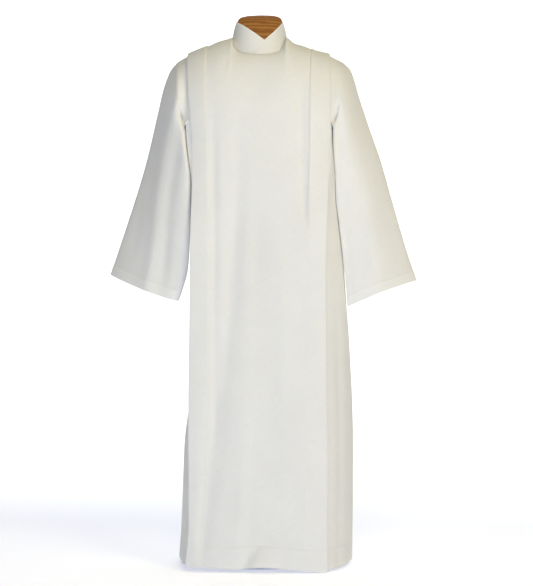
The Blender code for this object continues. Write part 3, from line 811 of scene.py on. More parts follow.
def woven(name, colour, grain=1.0, double_cloth_and_highlight=BAND_LIGHT):
    made, tree = material(
        name, Roughness=0.88, Sheen_Weight=0.12, Sheen_Roughness=0.5, Specular_IOR_Level=0.25
    )
    uv = node(tree, "ShaderNodeUVMap", uv_map="cut").outputs["UV"]
    warps, wefts = (
        bands(tree, uv, direction, Scale=THREADS_PER_METRE / 20, Distortion=0.6, Detail=1.0)
        for direction in ("X", "Y")
    )
    weave = math(tree, "MULTIPLY", warps, wefts)
    slubs = (stretched_noise(tree, uv, 60, stretch) for stretch in ((22, 1, 1), (1, 22, 1)))
    slub = math(tree, "ADD", *slubs)
    broad = stretched_noise(tree, uv, 9, (1, 1, 1), 3)
    dark = tuple(c * (1 - 0.055 * grain) for c in colour)
    light = tuple(min(1.0, c * (1 + 0.03 * grain)) for c in colour)
    single = ramp(tree, weighed(tree, slub, 0.5, broad, 0.35), [(0.52, dark), (0.86, light)])
    # where the attribute "band" is set, the colour turns lighter: on hems this is the lighter look
    # of double cloth, and on the collar's rim it is partly that but mostly a painted highlight
    band = node(tree, "ShaderNodeAttribute", attribute_name="band").outputs["Fac"]
    bright = tuple(min(0.97, c * (1 + double_cloth_and_highlight)) for c in colour)
    lighter = node(
        tree, "ShaderNodeMix", data_type="RGBA", Factor=band, A=single, B=(*bright, 1)
    )
    height = weighed(tree, weave, 0.35, slub, 0.8)
    surface(tree, lighter.outputs["Result"], height, 0.35 * grain, 0.0004)
    return made


LINEN = woven("linen_cloth", WHITE)
# the collar's own copy of the linen, a hundredth lighter overall, with a painted highlight along its
# top rim
RIM_HIGHLIGHT_LINEN = woven("collar_linen_rim_highlight", tuple(c * 1.01 for c in WHITE), 0.8, PAINTED_RIM_HIGHLIGHT)
print("cloth materials:", LINEN.name, RIM_HIGHLIGHT_LINEN.name)

# %% [markdown]
# ## Front and back
#
# The two big panels come from `face_point` on a fine grid. The hem is a deep one, turned up and
# sewn about 55 mm above the edge: below that line the cloth is double, so it stands out by half a
# millimetre and the wall is thicker, and the line of sewing draws the cloth in a little.

# %% Hem shape and slow unevenness
HEM_BAND = 55 * MM
CUFF_BAND = 27 * MM
BAND_PROUD = 0.55 * MM
BAND_DRAW = 0.25 * MM
UNEVEN_SIZE = 0.11
UNEVEN_DEPTH = 1.1 * MM
UNEVEN_STRETCH = Vector((1, 1, 0.45))
UNEVEN_FADE = 0.22  # the share of a panel, at its top, where the unevenness fades
HEM_SHARE = HEM_BAND / CHEST_HEIGHT * CHEST_SHARE
BESIDE_SEAM = np.array([-3.5, -2.2, -1.2, -0.5, 0, 0.5, 1.2, 2.2, 3.5]) * MM


def band_lift(distance, band):
    """How far a turned hem stands out, above its edge: proud, then drawn in by its seam."""
    proud = BAND_PROUD * (1 - ease((distance - band + 1.5 * MM) / (3 * MM)))
    return proud - BAND_DRAW * bump(distance - band, 1.6 * MM)


def uneven(grid, seed):
    """How far slow noise pushes a grid of points out or in."""
    shift = Vector((seed * 7.3, seed * 3.1, seed * 5.7))
    flat = [
        noise.noise((Vector(p) * UNEVEN_STRETCH) / UNEVEN_SIZE + shift)
        for p in grid.reshape(-1, 3)
    ]
    return np.array(flat).reshape(grid.shape[:-1]) * UNEVEN_DEPTH


def near_band(count, band):
    """Shares of the way up, closer together beside the line of a hem at that share."""
    close = band + BESIDE_SEAM * band / HEM_BAND
    return np.unique(np.concatenate([np.linspace(0, 1, count), close]))


# %% Front and back panels
FREE_TOP = 985 * MM  # below it, the wearer's left front pleat isn't sewn down at its inner edge
FREE_FADE = 45 * MM
FLUSH = PLEAT_PROUD - 0.1 * MM
FLUSH_WIDTH = 52 * MM
CLOSED_BELOW = 945 * MM  # where the front lies right over that pleat's inner edge
CLOSED_FADE = 30 * MM
PANEL_ROWS = 331  # a row falls right on CHEST_HEIGHT
PANEL_COLUMNS = 84
PANEL_SEED = {FRONT: 1, BACK: 2}
BUCKLE_TOP = 84 * MM
BUCKLE_RIGHT = 22 * MM
BUCKLE_LEFT = 0 * MM
BUCKLE_DEPTH = 11 * MM
BUCKLE_STEEP = (10 * MM, 40 * MM)  # the width of its steep side, at the top and at the hem
BUCKLE_SOFT = 70 * MM


def flush_rise(across, height):
    """Below the sewn part, the front runs level into the wearer's left pleat."""
    inner = level("left_in", height)
    along = ease((FREE_TOP - height) / FREE_FADE)
    near = ease(1 - (inner - 0.4 * MM - across) / FLUSH_WIDTH)
    over = ease((CLOSED_BELOW - height) / CLOSED_FADE)
    near = np.where(across < inner - 0.2 * MM, near, over * (across < inner + 3.05 * MM))
    return (FLUSH - 0.2 * MM * (across > inner + 2 * MM)) * along * near


def hem_buckle(across, height):
    """Near the hem the cloth stands out beside a slanting edge, steeply on its right."""
    down = np.clip((BUCKLE_TOP - height) / (BUCKLE_TOP - HEM_BACK_HEIGHT), 0, 1)
    edge = mix(BUCKLE_RIGHT, BUCKLE_LEFT, down)
    steep = ease(1 - (edge - across) / mix(*BUCKLE_STEEP, down))
    soft = 1 - ease((across - edge) / BUCKLE_SOFT)
    return BUCKLE_DEPTH * ease(down) * np.where(across < edge, steep, soft)


def face_panel(name, facing):
    share = near_band(PANEL_ROWS, HEM_SHARE)[:, None]
    height = nominal_height(share, facing)
    left, right = panel_edge("left", share, facing), -panel_edge("right", share, facing)
    if facing == FRONT:
        inner = np.minimum(level("left_in", height) - 0.5 * MM, left - 4 * MM)
        across = np.hstack([
            mix(right, inner, np.linspace(0, 1, PANEL_COLUMNS)),
            inner + np.array([1.8, 2.5, 3.5]) * MM,
            mix(inner + 3.7 * MM, left, np.linspace(0, 1, 6)),
        ])
    else:
        across = mix(right, left, np.linspace(0, 1, PANEL_COLUMNS))
    grid = face_point(across, share, facing)
    out = face_normal(across, share, facing)
    distance = grid[..., 2] - hem_height(across, facing)
    rise = band_lift(distance, HEM_BAND)
    rise = rise + uneven(grid, PANEL_SEED[facing]) * ease((1 - share) / UNEVEN_FADE)
    if facing == FRONT:
        rise = rise + flush_rise(across, grid[..., 2]) + hem_buckle(across, grid[..., 2])
    grid = grid + out * rise[..., None]
    sewn = across[hem_row(distance, HEM_BAND)]
    between = (sewn > -level("right_in", 0)) & (sewn < level("left_in", 0))
    return hemmed(name, grid, facing == BACK, distance, HEM_BAND, between, shown=HEM_SHOWN)


front = face_panel("front", FRONT)
back = face_panel("back", BACK)

# %% [markdown]
# ## Box pleats
#
# A box-pleat strip is the panel's own cloth folded forward twice, so its two long edges are soft
# rolls, with cloth turned under behind them. The strip follows the panel below it, a few
# millimetres in front of it, which is what casts the two fine shadows down the robe.

# %% Pleat strips
PLEAT_ROWS = 250
# how far the wearer's-right front strip's outer edge lifts or settles, in mm, by height in metres
TILT = ((0.15, 0), (0.35, 3), (0.85, 3), (1.08, -1), (1.3, -1), (1.4, 0))
FOLD_STEPS = 7
FACE_STEPS = 12
EDGE_COLUMN = 9  # the last column of the inner roll, where the strip is sewn down
FACE_COLUMNS = slice(10, 21)


def pleat_profile(inner, outer):
    """Distance across and height above the panel, round a strip's section."""
    turned = np.minimum(PLEAT_RETURN, 0.4 * (outer - inner))
    low, middle = PLEAT_PROUD - 2 * PLEAT_FOLD, PLEAT_PROUD - PLEAT_FOLD
    steps = [180 * n / (FOLD_STEPS - 1) for n in range(FOLD_STEPS)]
    section = [(inner + turned * s, low) for s in (1, 0.66, 0.33)]
    for turn in (radians(-90 - step) for step in steps):
        section.append((inner + PLEAT_FOLD * (1 + cos(turn)), middle + PLEAT_FOLD * sin(turn)))
    for n in range(1, FACE_STEPS):
        section.append((mix(inner + PLEAT_FOLD, outer - PLEAT_FOLD, n / FACE_STEPS), PLEAT_PROUD))
    for turn in (radians(90 - step) for step in steps):
        section.append((outer - PLEAT_FOLD * (1 - cos(turn)), middle + PLEAT_FOLD * sin(turn)))
    section += [(outer - turned * s, low) for s in (0.33, 0.66, 1)]
    across, proud = zip(*section)
    return np.hstack(across), np.array(proud)


def pleat(name, side, facing):
    sign = SIGN[side]
    share = near_band(PLEAT_ROWS, HEM_SHARE)[:, None]
    height = nominal_height(share, facing)
    inner, outer = level(side + "_in", height), level(side + "_out", height)
    across, proud = pleat_profile(inner, outer)
    base = face_point(sign * across, share, facing)
    out = face_normal(sign * across, share, facing)
    distance = base[..., 2] - hem_height(sign * across, facing)
    face = ease((proud - PLEAT_PROUD + PLEAT_FOLD) / PLEAT_FOLD)
    rise = proud + band_lift(distance, HEM_BAND) * face
    rise = rise + uneven(base, PANEL_SEED[facing]) * ease((1 - share) / UNEVEN_FADE)
    if (side, facing) == ("right", FRONT):
        lifted = np.interp(height, *zip(*TILT)) * MM
        rise = rise + lifted * np.clip((across - inner) / (outer - inner), 0, 1)
    grid = base + out * rise[..., None]
    flip = sign * facing > 0
    made = hemmed(
        name, grid, flip, distance, HEM_BAND, FACE_COLUMNS, wall=PLEAT_CLOTH,
        turned_wall=PLEAT_CLOTH, shown=HEM_SHOWN,
    )
    held = grid[:, EDGE_COLUMN, 2] > (FREE_TOP if (side, facing) == ("left", FRONT) else 0)
    sew(grid, flip, held, EDGE_COLUMN)
    return made


pleats = {}
for where, facing in (("front", FRONT), ("back", BACK)):
    for side in SIGN:
        pleats[f"pleat_{where}_{side}"] = pleat(f"box_pleat_{where}_{side}", side, facing)

# %% [markdown]
# ## Side panels
#
# A side panel closes the robe between the back edges of the pleats. It hangs free from the
# armhole, so it swings out towards the hem and takes a few soft waves there.

# %% Side panels
SIDE_ROWS = 240
SIDE_COLUMNS = 64
SIDE_STEP = 0.004  # the share over which its outward direction is measured
SideWave = namedtuple("SideWave", "around top half depth")
SIDE_FOLDS = {
    "left": table(SideWave, [
        (0.22, 900, 0.05, 4.0), (0.50, 1120, 0.06, 5.0), (0.78, 820, 0.05, 4.5),
    ]),
    "right": table(SideWave, [
        (0.27, 760, 0.05, 4.5), (0.55, 1100, 0.06, 4.0), (0.80, 900, 0.05, 4.0),
    ]),
}
SIDE_UNEVEN_FADE = 0.1
SIDE_FADE = 450 * MM  # how far below a wave's top it takes to reach its full depth
SIDE_SETTLES = 0.25  # how soon beside its edges the turned hem and the unevenness begin


def side_panel(side, seed):
    share = near_band(SIDE_ROWS, HEM_BAND / CHEST_HEIGHT)[:, None]
    around = np.linspace(0, 1, SIDE_COLUMNS)
    grid = side_point(side, around, share)
    ahead = side_point(side, np.minimum(around + SIDE_STEP, 1), share)
    behind = side_point(side, np.maximum(around - SIDE_STEP, 0), share)
    above = side_point(side, around, np.minimum(share + SIDE_STEP, 1))
    below = side_point(side, around, np.maximum(share - SIDE_STEP, 0))
    out = unit(np.cross(ahead - behind, above - below)) * SIGN[side]
    distance = grid[..., 2] - grid[:1, :, 2]
    edges = ease(np.sin(pi * around) / SIDE_SETTLES) * np.ones_like(share)
    rise = band_lift(distance, HEM_BAND) * edges
    rise = rise + uneven(grid, seed) * edges * ease((1 - share) / SIDE_UNEVEN_FADE)
    for wave in SIDE_FOLDS[side]:
        fade = ease((wave.top * MM - grid[..., 2]) / SIDE_FADE)
        rise = rise - wave.depth * MM * fade * bump(around - wave.around, wave.half)
    grid = grid + out * rise[..., None]
    flip = side == "right"
    return hemmed("side_panel_" + side, grid, flip, distance, HEM_BAND, shown=HEM_SHOWN)


side_left = side_panel("left", 5)
side_right = side_panel("right", 6)

# %% [markdown]
# ## Sleeves
#
# A bell sleeve is a tube that starts at the armhole, under the pleats' outer edges, and widens to
# the cuff. Its rings are slanting sections at the stations of the table, each with an outer and
# an inner fold, and a bulge to the front and the back between them. A Catmull-Rom curve, which
# passes through every ring, keeps the cloth smooth. A real one can be cut in one flat piece and
# folded double along its outer edge.

# %% Armhole rings
SLEEVE_COLUMNS = 132
SLEEVE_RINGS = 14
UPPER_STEPS = 60
UNDER_STEPS = 40


def resample(line, count):
    """The same line as evenly spaced points, count + 1 of them."""
    steps = np.linalg.norm(np.diff(line, axis=0), axis=1)
    at = np.concatenate([[0], np.cumsum(steps)])
    even = np.linspace(0, at[-1], count + 1)
    return np.stack([np.interp(even, at, line[:, k]) for k in range(3)], axis=-1)


def armhole(side, out, sunk, drop):
    """A ring at the armhole: from the shoulder down the front, under the arm and up the back."""
    sign = SIGN[side]
    under_count = SLEEVE_COLUMNS // 6
    upper_count = SLEEVE_COLUMNS // 2 - under_count
    halves = []
    for facing in (FRONT, BACK):
        share = 1 - (1 - CHEST_SHARE) * np.linspace(0, 1, UPPER_STEPS)
        across = np.full(UPPER_STEPS, sign * (ARM_EDGE + out))
        upper = face_point(across, share, facing) - face_normal(across, share, facing) * sunk
        upper[0, 1] = 0
        upper[-1, 2] -= drop
        around = np.linspace(0, 0.5, UNDER_STEPS)[1:]
        around = around if facing == FRONT else 1 - around
        lower = side_point(side, around, 1.0) + np.array([sign * out / 2, 0, 2 * SEAM_GAP - drop])
        lower = np.concatenate([upper[-1:], lower[np.abs(lower[:, 0]) > ARM_EDGE + out]])
        parts = [resample(upper, upper_count), resample(lower, under_count)[1:]]
        halves.append(np.concatenate(parts))
    front_half, back_half = halves
    return np.concatenate([front_half, back_half[-2:0:-1]])


# %% Sleeve rings
def sleeve_fold(side, across, down):
    depth = 0.0
    for fold in SLEEVE_FOLDS[side]:
        path = through(fold.top, fold.mid, fold.cuff, down) * MM
        trough = bump(across - path, fold.half_width * MM)
        depth = depth + fold.depth * MM * ease(down / SLEEVE_FOLD_START) * trough
    return depth


def sleeve_ring(side, down):
    """One slanting section of a sleeve, down from 0 at the first station to 1 at the cuff."""
    value = {key: float(read(SLEEVES[side], "down", key, down)) for key in Ring._fields}
    outer = np.array([value["outer_x"], 0, value["outer_z"]])
    inner = np.array([value["inner_x"], 0, value["inner_z"]])
    turn = 2 * pi * np.arange(SLEEVE_COLUMNS) / SLEEVE_COLUMNS
    outwards, forward = np.cos(turn) >= 0, np.sin(turn) >= 0
    settled = ease(down / FOLD_SETTLES)
    inner_power = mix(HEAD_POWER, INNER_POWER[side], settled)
    power = np.where(outwards | ~forward, mix(HEAD_POWER, FOLD_POWER, settled), inner_power)
    along = np.abs(np.cos(turn)) ** (2 / power) * np.where(outwards, 1, -1)
    deep = np.abs(np.sin(turn)) ** (2 / power)
    ring = (outer + inner) / 2 + (outer - inner) / 2 * along[:, None]
    fold = sleeve_fold(side, ring[:, 0], down) * deep * np.where(forward, 1, SLEEVE_BACK_DEPTH)
    bulge = np.where(forward, value["forward"], value["back"]) * deep - fold
    ring[:, 1] = np.where(forward, -bulge, bulge) - value["skew"] * (1 - along) / 2
    ring[:, 2] -= CUFF_DROOP[side] * deep * down**3
    over = ring[:, 2] - TUCK_HEIGHT
    tuck = TUCK * bump(over, np.where(over > 0, TUCK_ABOVE, TUCK_BELOW[side]))
    tuck = tuck * ease((-ring[:, 1] - TUCK_FORWARD) / TUCK_FORWARD_FADE)
    ring[:, 0] -= tuck * ease((0.3 - along) / 0.6) * ease((down + 0.1) / 0.2)
    below_arm = ring[:, 2] < CHEST_HEIGHT - ARM_DIP
    least = np.where(below_arm, beside(side, ring[:, 1], ring[:, 2]), 0)
    ring[:, 0] = np.maximum(ring[:, 0], least) * SIGN[side]
    return ring


def smooth_between(rings, steps):
    """Catmull-Rom curves down the rings, with steps points from each ring to the next."""
    padded = np.concatenate([2 * rings[:1] - rings[1:2], rings, 2 * rings[-1:] - rings[-2:-1]])
    made = []
    for a, b, c, d in zip(padded, padded[1:], padded[2:], padded[3:]):
        for n in range(steps):
            t = n / steps
            made.append(
                b + 0.5 * t * (c - a)
                + t * t * (a - 2.5 * b + 2 * c - 0.5 * d)
                + t**3 * (-0.5 * a + 1.5 * b - 1.5 * c + 0.5 * d)
            )
    return np.array(made + [rings[-1]])


# %% Sleeves
SLEEVE_ROWS = 118
RING_STEPS = 12
SLEEVE_UNEVEN = 1.2
START_FADE = 60 * MM  # over how much cloth, from the armhole, unevenness and creases come in
SLEEVE_CREASES = {
    "right": table(Crease, [
        (228, 1362, 252, 1196, 4, 10, 2.8),
        (214, 1350, 194, 1250, 3, 6, 1.8),
        (206, 1262, 200, 1190, 2, 6, 1.4),
        (250, 1230, 296, 980, -10, 16, 2.0),
        (320, 1010, 356, 830, 6, 15, 1.8),
        (232, 930, 250, 780, -6, 14, 2.2),
    ]),
    "left": table(Crease, [
        (204, 1340, 226, 1250, -4, 8, 2.4),
        (206, 1270, 232, 1190, -5, 9, 2.2),
        (212, 1200, 226, 1110, -4, 8, 2.0),
        (256, 1290, 284, 660, 2, 40, 5.5),
        (214, 1310, 250, 700, 7, 12, 3.2),
        (340, 960, 384, 800, -6, 15, 1.6),
        (290, 900, 318, 760, 6, 14, 1.8),
    ]),
}


def sleeve(side, seed):
    rings = [armhole(side, SEAM_GAP, 0, 0), armhole(side, HEAD_OUT, HEAD_SUNK, HEAD_DROP)]
    rings += [sleeve_ring(side, n / SLEEVE_RINGS) for n in range(SLEEVE_RINGS + 1)]
    fine = smooth_between(np.array(rings), RING_STEPS)[::-1]
    steps = np.linalg.norm(np.diff(fine, axis=0), axis=2)
    up = np.concatenate([np.zeros((1, SLEEVE_COLUMNS)), np.cumsum(steps, axis=0)])
    near = np.concatenate([np.linspace(0, CUFF_BAND - 5 * MM, 6), CUFF_BAND + BESIDE_SEAM])
    far = np.linspace(0, 1, SLEEVE_ROWS)[1:]
    grid = np.zeros((len(near) + len(far), SLEEVE_COLUMNS, 3))
    for c in range(SLEEVE_COLUMNS):
        at = np.concatenate([near, mix(near[-1], up[-1, c], far)])
        for k in range(3):
            grid[:, c, k] = np.interp(at, up[:, c], fine[:, c, k])
    distance = np.concatenate([near, near[-1] + far * (up[-1].mean() - near[-1])])[:, None]
    ahead = np.roll(grid, -1, axis=1) - np.roll(grid, 1, axis=1)
    out = unit(np.cross(np.gradient(grid, axis=0), ahead)) * SIGN[side]
    start = ease((up[-1].mean() - distance) / START_FADE)
    rise = band_lift(distance, CUFF_BAND) + uneven(grid, seed) * SLEEVE_UNEVEN * start
    facing = np.clip(-out[..., 1], 0, 1) + SLEEVE_BACK_DEPTH * np.clip(out[..., 1], 0, 1)
    creases = crease_depth(SLEEVE_CREASES[side], np.abs(grid[..., 0]), grid[..., 2])
    grid = grid + out * (rise - creases * facing * start)[..., None]
    flip = side == "left"
    made = hemmed("bell_sleeve_" + side, grid, flip, distance, CUFF_BAND, closed=True)
    sew(grid, flip, row=-2, closed=True)
    return made


sleeve_left = sleeve("left", 8)
sleeve_right = sleeve("right", 9)

# %% [markdown]
# ## Collar
#
# The collar is a firm band that stands up from the neck seam. It goes once round the neck and past
# itself: the end on the wearer's left lies outside the other one, and the two slanting edges make
# the V. Its height is read along the band, so the V is only a matter of where the top edge runs.

# %% Collar
COLLAR_COLUMNS = 260
COLLAR_ROWS = 24
COLLAR_RIM = 4 * MM
RIM_PROUD = 0.35 * MM
RIM_WALL = 2.2 * MM


def collar_top(across, lapped):
    """The height of the slanting upper edge in front of the neck's sides."""
    cross_x, cross_z = CROSSING
    start = np.where(lapped, COLLAR_TOP_SIDE, -COLLAR_TOP_SIDE)
    share = np.clip((across - start) / (cross_x - start), 0, None)
    return mix(COLLAR_TOP_Z, cross_z, share ** np.where(lapped, LAPPED_CURVE, 1))


def collar():
    under = asin(UNDER_END / COLLAR_TOP_SIDE)
    over = -2 * pi + asin(OVER_END / COLLAR_TOP_SIDE)
    share = np.linspace(0, 1, COLLAR_COLUMNS + 1)
    turn = mix(under, over, share)
    lap = COLLAR_LAP * ease((share - 0.12) / 0.18)
    base = neck_seam(np.abs((turn + pi) % (2 * pi) - pi))
    base[:, 0] = NECK_SIDE * np.sin(turn)
    outward = points(np.sin(turn), -np.cos(turn), np.zeros_like(turn))
    base = base + outward * (lap - COLLAR_LAP - COLLAR_INSIDE)[:, None]
    base[:, 2] += COLLAR_RISE
    facing = np.cos(turn)
    depth = np.where(facing > 0, COLLAR_TOP_FRONT, COLLAR_TOP_BACK)
    top = points(COLLAR_TOP_SIDE * np.sin(turn), -depth * facing, np.zeros_like(turn))
    top = top + outward * (lap - COLLAR_LAP)[:, None]
    slanted = collar_top(COLLAR_TOP_SIDE * np.sin(turn), share > 0.5)
    level_top = mix(COLLAR_TOP_Z, COLLAR_NAPE_Z, -facing)
    top[:, 2] = np.maximum(np.where(facing > 0, slanted, level_top), base[:, 2] + 4 * MM)
    up = (np.arange(COLLAR_ROWS + 1) / COLLAR_ROWS)[:, None]
    grid = mix(base, top, (up**COLLAR_CURVE)[..., None])
    grid[..., 2] = mix(base[:, 2], top[:, 2], up)
    # the top rim is rolled a little proud and doubled, and the collar's material paints the cloth
    # lighter along it: a painted highlight on the edge
    rim = ease(1 - np.linalg.norm(grid[-1] - grid, axis=2) / COLLAR_RIM)
    grid = grid + outward * (RIM_PROUD * bump(rim - 0.5, 0.5) * (rim > 0))[..., None]
    top, foot = grid.copy(), grid.copy()
    top[-1] += unit(grid[-2] - grid[-1]) * SEWN_IN
    foot[0] += unit(grid[1] - grid[0]) * SEWN_IN
    sew(top, True, row=-1)
    sew(foot, True, row=0)
    return cloth(
        "stand_collar", grid, True, rim, wall=PLEAT_CLOTH, turned_wall=RIM_WALL, finish=RIM_HIGHLIGHT_LINEN
    )


neckband = collar()

# %% [markdown]
# ## Stitches
#
# The hems, the collar, the pleats and the armholes are sewn with white thread, by lockstitch: a
# row of short raised grains, each the thread between two needle holes. Geometry Nodes lays one
# grain at every step along the kept lines, turns it along the line and lets it sit on the cloth.

# %% Stitch thread
STITCH_SIZES = {"Pitch": 3.4 * MM, "Length": 2.6 * MM, "Width": 0.55 * MM, "Seed": 7}
THREAD = speckled(
    "sewing_thread", (900, (1, 1, 2.5), 1),
    [(0.35, (0.80, 0.785, 0.74)), (0.7, (0.90, 0.89, 0.86))],
    (0.3, 0.0001), Roughness=0.6, Sheen_Weight=0.1,
)
print("stitch sizes:", STITCH_SIZES)


# %% Stitch tree
def stitch_tree():
    """Grains along every path of edges, turned by the path and by the attribute "out"."""
    tree = bpy.data.node_groups.new("stitches", "GeometryNodeTree")
    tree.interface.new_socket("Geometry", in_out="OUTPUT", socket_type="NodeSocketGeometry")
    kinds = ("Geometry", "Float", "Float", "Float", "Int")
    for name, kind in zip(("Geometry", *STITCH_SIZES), kinds):
        tree.interface.new_socket(name, in_out="INPUT", socket_type="NodeSocket" + kind)
    given = node(tree, "NodeGroupInput").outputs
    curve = node(tree, "GeometryNodeMeshToCurve", Mesh=given["Geometry"])
    even = node(
        tree, "GeometryNodeResampleCurve", mode="LENGTH", Curve=curve.outputs["Curve"],
        Length=given["Pitch"],
    )
    out = node(tree, "GeometryNodeInputNamedAttribute", data_type="FLOAT_VECTOR", Name="out")
    tangent = node(tree, "GeometryNodeInputTangent").outputs["Tangent"]
    along = node(tree, "FunctionNodeAlignRotationToVector", axis="X", Vector=tangent)
    laid_flat = node(
        tree, "FunctionNodeAlignRotationToVector", axis="Z", pivot_axis="X",
        Rotation=along.outputs["Rotation"], Vector=out.outputs["Attribute"],
    )
    grain = node(tree, "GeometryNodeMeshUVSphere", Segments=6, Rings=4, Radius=0.5)
    soft = node(tree, "GeometryNodeSetShadeSmooth", Geometry=grain.outputs["Mesh"])
    vary = node(tree, "FunctionNodeRandomValue", data_type="FLOAT", Min=0.86, Max=1.08)
    fill(vary, Seed=given["Seed"])
    length = math(tree, "MULTIPLY", given["Length"], vary.outputs["Value"])
    height = math(tree, "MULTIPLY", given["Width"], 0.8)
    size = node(tree, "ShaderNodeCombineXYZ", X=length, Y=given["Width"], Z=height)
    laid = node(
        tree, "GeometryNodeInstanceOnPoints", Points=even.outputs["Curve"],
        Instance=soft.outputs["Geometry"], Rotation=laid_flat.outputs["Rotation"],
        Scale=size.outputs["Vector"],
    )
    real = node(tree, "GeometryNodeRealizeInstances", Geometry=laid.outputs["Instances"])
    dressed = node(tree, "GeometryNodeSetMaterial", Material=THREAD)
    fill(dressed, Geometry=real.outputs["Geometry"])
    node(tree, "NodeGroupOutput", Geometry=dressed.outputs["Geometry"])
    return tree


# %% Stitches along the seams
def stitches(name):
    edges, start = [], 0
    for line, _ in seams:
        edges += [(start + n, start + n + 1) for n in range(len(line) - 1)]
        start += len(line)
    places, outwards = (np.concatenate(part) for part in zip(*seams))
    mesh = bpy.data.meshes.new(name)
    mesh.from_pydata(places.tolist(), edges, [])
    out = mesh.attributes.new("out", "FLOAT_VECTOR", "POINT")
    out.data.foreach_set("vector", outwards.reshape(-1))
    obj = placed(name, mesh)
    sewing = obj.modifiers.new("sewing", "NODES")
    sewing.node_group = stitch_tree()
    for socket in sewing.node_group.interface.items_tree:
        if socket.name in STITCH_SIZES:
            sewing[socket.identifier] = STITCH_SIZES[socket.name]
    applied(obj)
    print(f"{name}: {len(obj.data.polygons)} faces along {len(seams)} lines")
    return obj


thread = stitches("seam_stitches")

# %% [markdown]
# ## The dress form
#
# The torso is a covered block, smooth and whole, and only its neck cap shows: a turned piece of
# wood whose domed top slopes to the front. Both are lofts through level ovals.

# %% Wood, cover and paint
def wood_finish():
    made, tree = material("neck_cap_wood", Roughness=0.55, Specular_IOR_Level=0.12)
    place = object_place(tree)
    mapping = node(tree, "ShaderNodeMapping", Vector=place)
    fill(mapping, Rotation=(0.1, 0.25, 0.12), Scale=(1, 3.2, 3.2))
    rings = bands(
        tree, mapping.outputs["Vector"], "Y", Scale=9, Distortion=5.5, Detail=3, Detail_Scale=1.4
    )
    fibre = stretched_noise(tree, place, 60, (1, 14, 14), 4)
    colour = ramp(tree, weighed(tree, rings, 0.55, fibre, 0.45), [
        (0.2, (0.30, 0.115, 0.022)), (0.5, (0.40, 0.165, 0.034)), (0.8, (0.50, 0.23, 0.062)),
    ])
    surface(tree, colour, fibre, 0.2, 0.0003)
    return made


WOOD = wood_finish()
JERSEY = speckled(
    "form_jersey", (14, (1, 1, 1), 3), [(0.35, (0.6, 0.53, 0.43)), (0.65, (0.68, 0.61, 0.5))],
    (0.25, 0.0003), knit=260, Roughness=0.9,
)
ENAMEL = speckled(
    "stand_enamel", (180, (1, 1, 1), 2), [(0.3, (0.74, 0.74, 0.72)), (0.7, (0.82, 0.82, 0.8))],
    (0.12, 0.0002), Roughness=0.38,
)
print("stand materials:", WOOD.name, JERSEY.name, ENAMEL.name)

# %% Torso and cap
Torso = namedtuple("Torso", "height half_width front back")
TORSO = table(Torso, [
    (800, 138, 84, 84), (806, 146, 92, 90), (860, 152, 98, 94), (950, 142, 92, 86),
    (1050, 140, 94, 84), (1150, 152, 104, 90), (1250, 166, 106, 88), (1320, 172, 92, 80),
    (1358, 166, 74, 68), (1378, 142, 52, 52), (1389, 102, 40, 42), (1394, 64, 38, 42),
    (1397, 55, 44, 44),
])
TORSO_POWER = 2.3
TORSO_RINGS = 60
CAP_FOOT = 1397.3 * MM
CAP_HALF_WIDTH = 61.5 * MM
CAP_HALF_DEPTH = 55 * MM
CAP_RIM_HEIGHT = 1476 * MM
CAP_LEAN = 0.80
CAP_BEND = -5.6
CapStep = namedtuple("CapStep", "inset lift")
CAP_STEPS = table(CapStep, [
    (0.6, -5), (0, -3), (0, -1.2), (0.3, -0.5), (1, 0), (4, 0.7), (14, 2), (34, 3.4), (50, 3.9),
    (60, 4),
])
RING_POINTS = 96


def oval(height, half_width, front_reach, back_reach, power):
    turn = 2 * pi * np.arange(RING_POINTS) / RING_POINTS
    x = half_width * np.abs(np.cos(turn)) ** (2 / power) * np.sign(np.cos(turn))
    depth = np.where(np.sin(turn) >= 0, back_reach, front_reach)
    y = depth * np.abs(np.sin(turn)) ** (2 / power) * np.sign(np.sin(turn))
    return points(x, y, np.full(RING_POINTS, height))


def loft(name, rings, finish):
    """A solid through rings of points, closed at both ends."""
    index = np.arange(len(rings) * RING_POINTS).reshape(len(rings), RING_POINTS)
    after = np.roll(index, -1, axis=1)
    sides = np.stack([index[:-1], after[:-1], after[1:], index[1:]], axis=-1).reshape(-1, 4)
    ends = [index[0][::-1].tolist(), index[-1].tolist()]
    mesh = bpy.data.meshes.new(name)
    mesh.from_pydata(np.concatenate(rings).tolist(), [], sides.tolist() + ends)
    mesh.materials.append(finish)
    obj = applied(placed(name, mesh))
    obj.data.set_sharp_from_angle(angle=SHARP)
    return obj


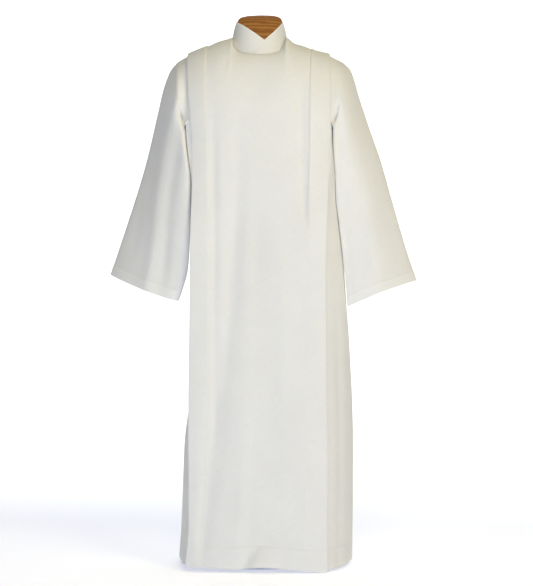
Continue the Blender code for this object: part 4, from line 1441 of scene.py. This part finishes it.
def torso():
    keys = [row.height * MM for row in TORSO]
    levels = np.unique(np.concatenate([keys, np.linspace(0.8, 1.397, TORSO_RINGS)]))
    rings = []
    for height in levels:
        sizes = [float(read(TORSO, "height", c, height)) for c in ("half_width", "front", "back")]
        rings.append(oval(height, *sizes, TORSO_POWER))
    return loft("form_block", rings, JERSEY)


def neck_cap():
    depth = CAP_HALF_DEPTH - 7 * MM
    rings = [oval(CAP_FOOT, CAP_HALF_WIDTH - 8 * MM, depth, depth, 2)]
    for step in CAP_STEPS:
        shrink = 1 - step.inset * MM / CAP_HALF_WIDTH
        depth = CAP_HALF_DEPTH * shrink
        ring = oval(CAP_RIM_HEIGHT, CAP_HALF_WIDTH * shrink, depth, depth, 2)
        ring[:, 2] += CAP_LEAN * ring[:, 1] + CAP_BEND * ring[:, 1] ** 2 + step.lift * MM
        rings.append(ring)
    return loft("wooden_neck_cap", rings, WOOD)


block = torso()
cap = neck_cap()
for name in ("stand_pole", "stand_base"):
    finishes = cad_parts[name].data.materials
    finishes.clear()
    finishes.append(ENAMEL)
print("dress form:", block.name, cap.name)

# %% [markdown]
# ## Ride and replace
#
# The robe has no joints, so every piece rides on the one body, and the solid that each piece stands
# for is hidden. Each cloth piece is listed with that solid and the size of the sheet that it was cut
# from.

# %% Ride on the body
Cut = namedtuple("Cut", "piece replaces width length share")
CUTS = table(Cut, [
    (front, "front_panel", 0.42, 1.50, 0.76),
    (back, "back_panel", 0.39, 1.48, 0.83),
    (side_left, "side_left", 0.40, 1.20, 0.81),
    (side_right, "side_right", 0.35, 1.19, 0.81),
    (sleeve_left, "sleeve_left", 0.58, 0.68, 0.62),
    (sleeve_right, "sleeve_right", 0.59, 0.66, 0.68),
    (neckband, "collar", 0.075, 0.56, 0.57),
])
PLEAT_CUTS = {
    "pleat_front_left": (0.095, 1.46, 0.88),
    "pleat_front_right": (0.086, 1.46, 0.88),
    "pleat_back_left": (0.094, 1.44, 0.88),
    "pleat_back_right": (0.086, 1.45, 0.86),
}
CUTS += [Cut(pleats[name], name, *sizes) for name, sizes in PLEAT_CUTS.items()]

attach(thread, "root")
for cut in CUTS:
    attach(cut.piece, "root")
    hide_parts(cut.replaces)
for piece, replaced, slot in ((block, "form_torso", "form_cover"), (cap, "form_neck_cap", "wood")):
    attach(piece, "root")
    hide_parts(replaced)
